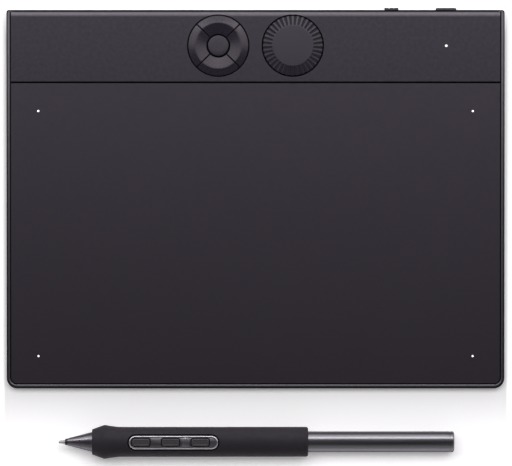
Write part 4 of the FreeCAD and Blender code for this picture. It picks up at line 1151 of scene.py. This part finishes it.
def gap_shade_top(x, y):
    return math.sqrt(gap_shade_round**2 - y * y)


loops = [soft_box(outer_length, outer_width, outer_width / 2, 0.0, 14)]
loops.append(soft_box(inner_length, inner_width, inner_width / 2, 0.0, 14))
shaped_plate(gap_shade, loops, gap_shade_holds, gap_shade_top, gap_shade_bottom, bezel_middle)
bring_home(gap_shade, "bezel_gap_shade", pen_bench, "pen", shade_black)

# %% [markdown]
# ## The three switches
#
# Each switch is a cap with round corners, a raised edge and a shallow dish for the fingertip,
# a little smaller than its opening. Below it, as in the CAD piece, a flange keeps it from
# coming out and a plunger reaches down to the board. The flange is black, which paints the
# shade in the gap round the cap.

# %% Switch caps
cap_gap, cap_round, cap_drop = 0.34, 6.95, 0.02
cap_box = cap_length - 2 * cap_gap, cap_width - 2 * cap_gap, cap_corner - cap_gap
shoulder_fall, shoulder_power = 0.4, 2.2
dish_start, dish_reach, dish_depth = 0.45, 0.45, 0.16
cap_bottom = 5.0
plunger_half, plunger_bottom, plunger_top = 0.7, 1.6, 4.9
flange_long, flange_wide, flange_bottom, flange_top = 4.45, 2.3, 4.8, 5.15


def cap_depth(x, y):
    return depth_in(x, y, *cap_box)


def cap_top(x, y):
    """A round shoulder, a raised edge, and a shallow dish in the middle."""
    inside = max(cap_depth(x, y), 0)
    height = math.sqrt(cap_round**2 - y * y) - cap_drop
    height -= shoulder_fall * max(0, 1 - inside / shoulder_fall) ** shoulder_power
    return height - dish_depth * eased_share(min(max((inside - dish_start) / dish_reach, 0), 1))


def block_under(shape, place, long, wide, bottom, top):
    """A plain block whose middle is under that place of the bezel."""
    slab(shape, (place - long, -wide, bottom), (place + long, wide, top))


insets = (0, 0.04, 0.09, 0.15, 0.22, 0.31, 0.4, 0.5, 0.6, 0.7, 0.8, 0.9)
loops = [soft_box(*cap_box, inset) for inset in insets]
for name, place in cap_places.items():
    node, title = name + "_side_switch", name + "_switch"
    cap = bmesh.new()
    shaped_plate(cap, loops, lambda x, y: cap_depth(x, y) > 0, cap_top, cap_bottom, place)
    block_under(cap, place, plunger_half, plunger_half, plunger_bottom, plunger_top)
    bring_home(cap, title + "_cap", pen_bench, node, switch_plastic, [node], 45)
    # The flange's black is painted shade in the gap round the cap.
    flange = bmesh.new()
    block_under(flange, place, flange_long, flange_wide, flange_bottom, flange_top)
    flange = bring_home(flange, title + "_flange", pen_bench, node, shade_black)
    round_over(flange, 0.08, 2)

# %% [markdown]
# ## The metal tail and its end
#
# The tail is a drawn tube of dark plated metal. Its end is closed by a small turned plug with
# a rounded edge, and the joint between them is a fine step that shows as a dark ring.

# %% Tail tube and end plug
tube_start, tube_middle, tube_end = 104.0, 140.0, 168.55
tube_radius, tube_bore = 4.48, 3.4
tube_edge = [(tube_start, tube_bore), (tube_start, tube_radius), (tube_middle, tube_radius)]
tube_edge += [(tube_end, tube_radius, 0.1), (tube_end, tube_bore), (tube_start, tube_bore)]
tube = turned(eased(tube_edge), 160)
bring_home(tube, "tail_tube", pen_bench, "pen", tail_metal, ["pen_tail"])

plug_start, neck_start, plug_shoulder, pen_end = 164.6, 168.62, 168.8, 170.5
plug_radius, neck_radius, spigot_radius, crown_radius = 4.47, 4.3, 3.3, 2.5
plug_edge = [(plug_start, 0.0), (plug_start, spigot_radius), (neck_start, spigot_radius)]
plug_edge += [(neck_start, neck_radius), (plug_shoulder, neck_radius)]
plug_edge += [(plug_shoulder, plug_radius, 0.06), (pen_end, plug_radius, 0.95)]
plug_edge += [(pen_end, crown_radius), (pen_end, 0.0)]
plug = turned(eased(plug_edge), 160)
bring_home(plug, "tail_plug", pen_bench, "pen", tail_metal, ["pen_end_cap"])

# %% [markdown]
# ## The table
#
# The tablet lies on a white table. To the camera and in reflections its paint is a little
# darker close round the tablet, which is painted shade, and turns whiter away from it, and
# more and more light of its own fills it farther out. All other rays meet plain white paint,
# so the table throws no more light back at the tablet than a real one.

# %% The table and what tells rays apart
def greatest(tree, sources):
    """The greatest of some sources at each place."""
    found, *others = sources
    for other in others:
        found = worked_out(tree, "MAXIMUM", found, other)
    return found


def any_ray(tree, *kinds):
    """One where a ray is of any of the kinds, nought elsewhere."""
    rays = tree.nodes.new("ShaderNodeLightPath")
    return greatest(tree, [rays.outputs[kind] for kind in kinds])


table_half = 3.0
table_mesh = bpy.data.meshes.new("table_top")
sides = ((-1, -1), (1, -1), (1, 1), (-1, 1))
corners = [(x * table_half, y * table_half, 0) for x, y in sides]
table_mesh.from_pydata(corners, [], [(0, 1, 2, 3)])
table_top = bpy.data.objects.new("table_top", table_mesh)
bpy.context.scene.collection.objects.link(table_top)
print("table of", 2 * table_half, "m")

# %% White paint for the table
table_paint = bpy.data.materials.new("white_table")
table_paint.use_nodes = True
tree = table_paint.node_tree
tree.nodes.remove(tree.nodes["Principled BSDF"])
place = tree.nodes.new("ShaderNodeTexCoord").outputs["Object"]
seen = any_ray(tree, "Is Camera Ray", "Is Glossy Ray", "Is Transmission Ray")

# Near the tablet the paint is held darker, which paints shade close round it. On each side it
# turns to a whiter value between two distances, in metres along an axis: in front, behind, on
# the right and on the left.
true_white, painted_shade_white = 0.8, 0.87
turns = [("Y", -0.07, -0.09, 1.25), ("Y", 0.085, 0.093, 1.4)]
turns += [("X", 0.1083, 0.1093, 1.4), ("X", -0.1083, -0.1093, 1.4)]
axes = axes_of(tree, place)
gains = [
    ranged(tree, axes[axis], start, stop, painted_shade_white, far_white)
    for axis, start, stop, far_white in turns
]
white = tree.nodes.new("ShaderNodeBsdfDiffuse")
seen_white = blended(tree, seen, true_white, greatest(tree, gains))
tree.links.new(seen_white, white.inputs["Color"])

away = tree.nodes.new("ShaderNodeVectorMath")
away.operation = "LENGTH"
tree.links.new(place, away.inputs[0])
own_light = ranged(tree, away.outputs["Value"], 0.2, 0.7, 0.15, 0.75)
glow = tree.nodes.new("ShaderNodeEmission")
tree.links.new(worked_out(tree, "MULTIPLY", seen, own_light), glow.inputs["Strength"])
both = tree.nodes.new("ShaderNodeAddShader")
tree.links.new(white.outputs["BSDF"], both.inputs[0])
tree.links.new(glow.outputs["Emission"], both.inputs[1])
tree.links.new(both.outputs["Shader"], tree.nodes["Material Output"].inputs["Surface"])
table_mesh.materials.append(table_paint)
print("nodes in the paint", len(tree.nodes))

# %% [markdown]
# ## The room
#
# A white backdrop stands round the table. The camera sees nothing else, and metal shows it
# too, up to where it ends just above the table's edge. Above it the room is a dim grey,
# brighter to the rear and darkest overhead, which is what the metal shows in its flats; a
# paler wall in front draws the grey band along the lower flank of the pen.

# %% The room
studio_white = (1, 0.98, 1)
room = bpy.data.worlds.new("grey_room")
bpy.context.scene.world = room
room.use_nodes = True
tree = room.node_tree
sky = tree.nodes["Background"]
sky.inputs["Color"].default_value = (*studio_white, 1)
direction = axes_of(tree, tree.nodes.new("ShaderNodeTexCoord").outputs["Generated"])


def both_of(first, second):
    """The product of two ranges, each given as (axis, start, stop, low, high)."""
    first, second = [ranged(tree, direction[given[0]], *given[1:]) for given in (first, second)]
    return worked_out(tree, "MULTIPLY", first, second)


walls = both_of(("Z", 0.0, 1.0, 0.6, 0.1), ("Y", -0.2, 0.9, 0.5, 1.5))
front_wall = both_of(("Z", 0.62, 0.9, 0.3, 0.0), ("Y", -0.35, 0.0, 1.0, 0.0))
room_light = worked_out(tree, "ADD", walls, front_wall)
backdrop = ranged(tree, direction["Z"], 0.12, 0.2, 1.0, 0.0)
backdrop = worked_out(tree, "MULTIPLY", backdrop, any_ray(tree, "Is Glossy Ray"))
room_light = greatest(tree, [room_light, backdrop])
white_for = any_ray(tree, "Is Camera Ray", "Is Transmission Ray")
tree.links.new(blended(tree, white_for, room_light, 1.0), sky.inputs["Strength"])
print("nodes in the room", len(tree.nodes))

# %% [markdown]
# ## The lamps
#
# All the light comes from behind the tablet. Three low soft lamps make the strip brighter than
# the front of the sheet and draw the bright edges of the keys and the pen. Alone they would
# drop long shadows, and the picture has short ones, as from a wide window high up. So the low
# lamps spare the table, and a high lamp lights nothing else: what falls from it are the
# shadows of tablet and pen.

# %% The lamps
def soft_lamp(name, place, target, width, depth, watts):
    """A flat lamp of that size in metres, aimed at a point."""
    lamp = bpy.data.lights.new(name, "AREA")
    lamp.shape = "RECTANGLE"
    lamp.size, lamp.size_y = width, depth
    lamp.energy = watts
    lamp.color = studio_white
    holder = bpy.data.objects.new(name, lamp)
    holder.location = place
    aim = Vector(target) - Vector(place)
    holder.rotation_euler = aim.to_track_quat("-Z", "Y").to_euler()
    holder.visible_camera = False
    bpy.context.scene.collection.objects.link(holder)
    return holder


def keep_to(lamp, piece, link_state):
    """Has a lamp reach that piece alone (INCLUDE) or all but that piece (EXCLUDE)."""
    reach = bpy.data.collections.new(lamp.name + "_reach")
    reach.objects.link(piece)
    reach.collection_objects[0].light_linking.link_state = link_state
    lamp.light_linking.receiver_collection = reach


lamps = [
    ("rear_lamp", (0, 0.17, 0.2), (0, 0.16, 0.0), 0.9, 0.2, 1.4, "EXCLUDE"),
    ("edge_lamp", (0, 0.36, 0.42), (0, 0.08, 0.0), 0.9, 0.05, 1.0, "EXCLUDE"),
    ("low_card", (0, 0.8, 0.26), (0, 0, 0), 1.6, 0.2, 1.2, "EXCLUDE"),
    ("desk_lamp", (0, 0.3, 0.95), (0, 0, 0), 1.4, 0.5, 7.5, "INCLUDE"),
]
for *lamp, link_state in lamps:
    keep_to(soft_lamp(*lamp), table_top, link_state)
print("lamps in watts", {lamp.name: round(lamp.energy, 2) for lamp in bpy.data.lights})

# %% [markdown]
# ## The camera
#
# The picture was taken from straight above with a long lens. The camera stands two metres up,
# and its lens is worked out from the scale that the picture has at the height of the deck's
# middle.

# %% The camera
mm_per_pixel, picture_width = 0.4316, 512
camera_x, camera_y, camera_height = 0.0002, 0.000055, 2.0
scale_height, sensor_width = 0.0055, 36.0
camera_data = bpy.data.cameras.new("copy_camera")
camera_data.sensor_width = sensor_width
to_scale = (camera_height - scale_height) / (picture_width * mm_per_pixel * MM)
camera_data.lens = sensor_width * to_scale
camera_data.clip_start, camera_data.clip_end = 0.1, 20
camera = bpy.data.objects.new("copy_camera", camera_data)
camera.location = (camera_x, camera_y, camera_height)
bpy.context.scene.collection.objects.link(camera)
bpy.context.scene.camera = camera
bpy.context.scene.view_settings.view_transform = "Standard"
print("lens", round(camera_data.lens, 1), "mm at", camera_height, "m")

# %% [markdown]
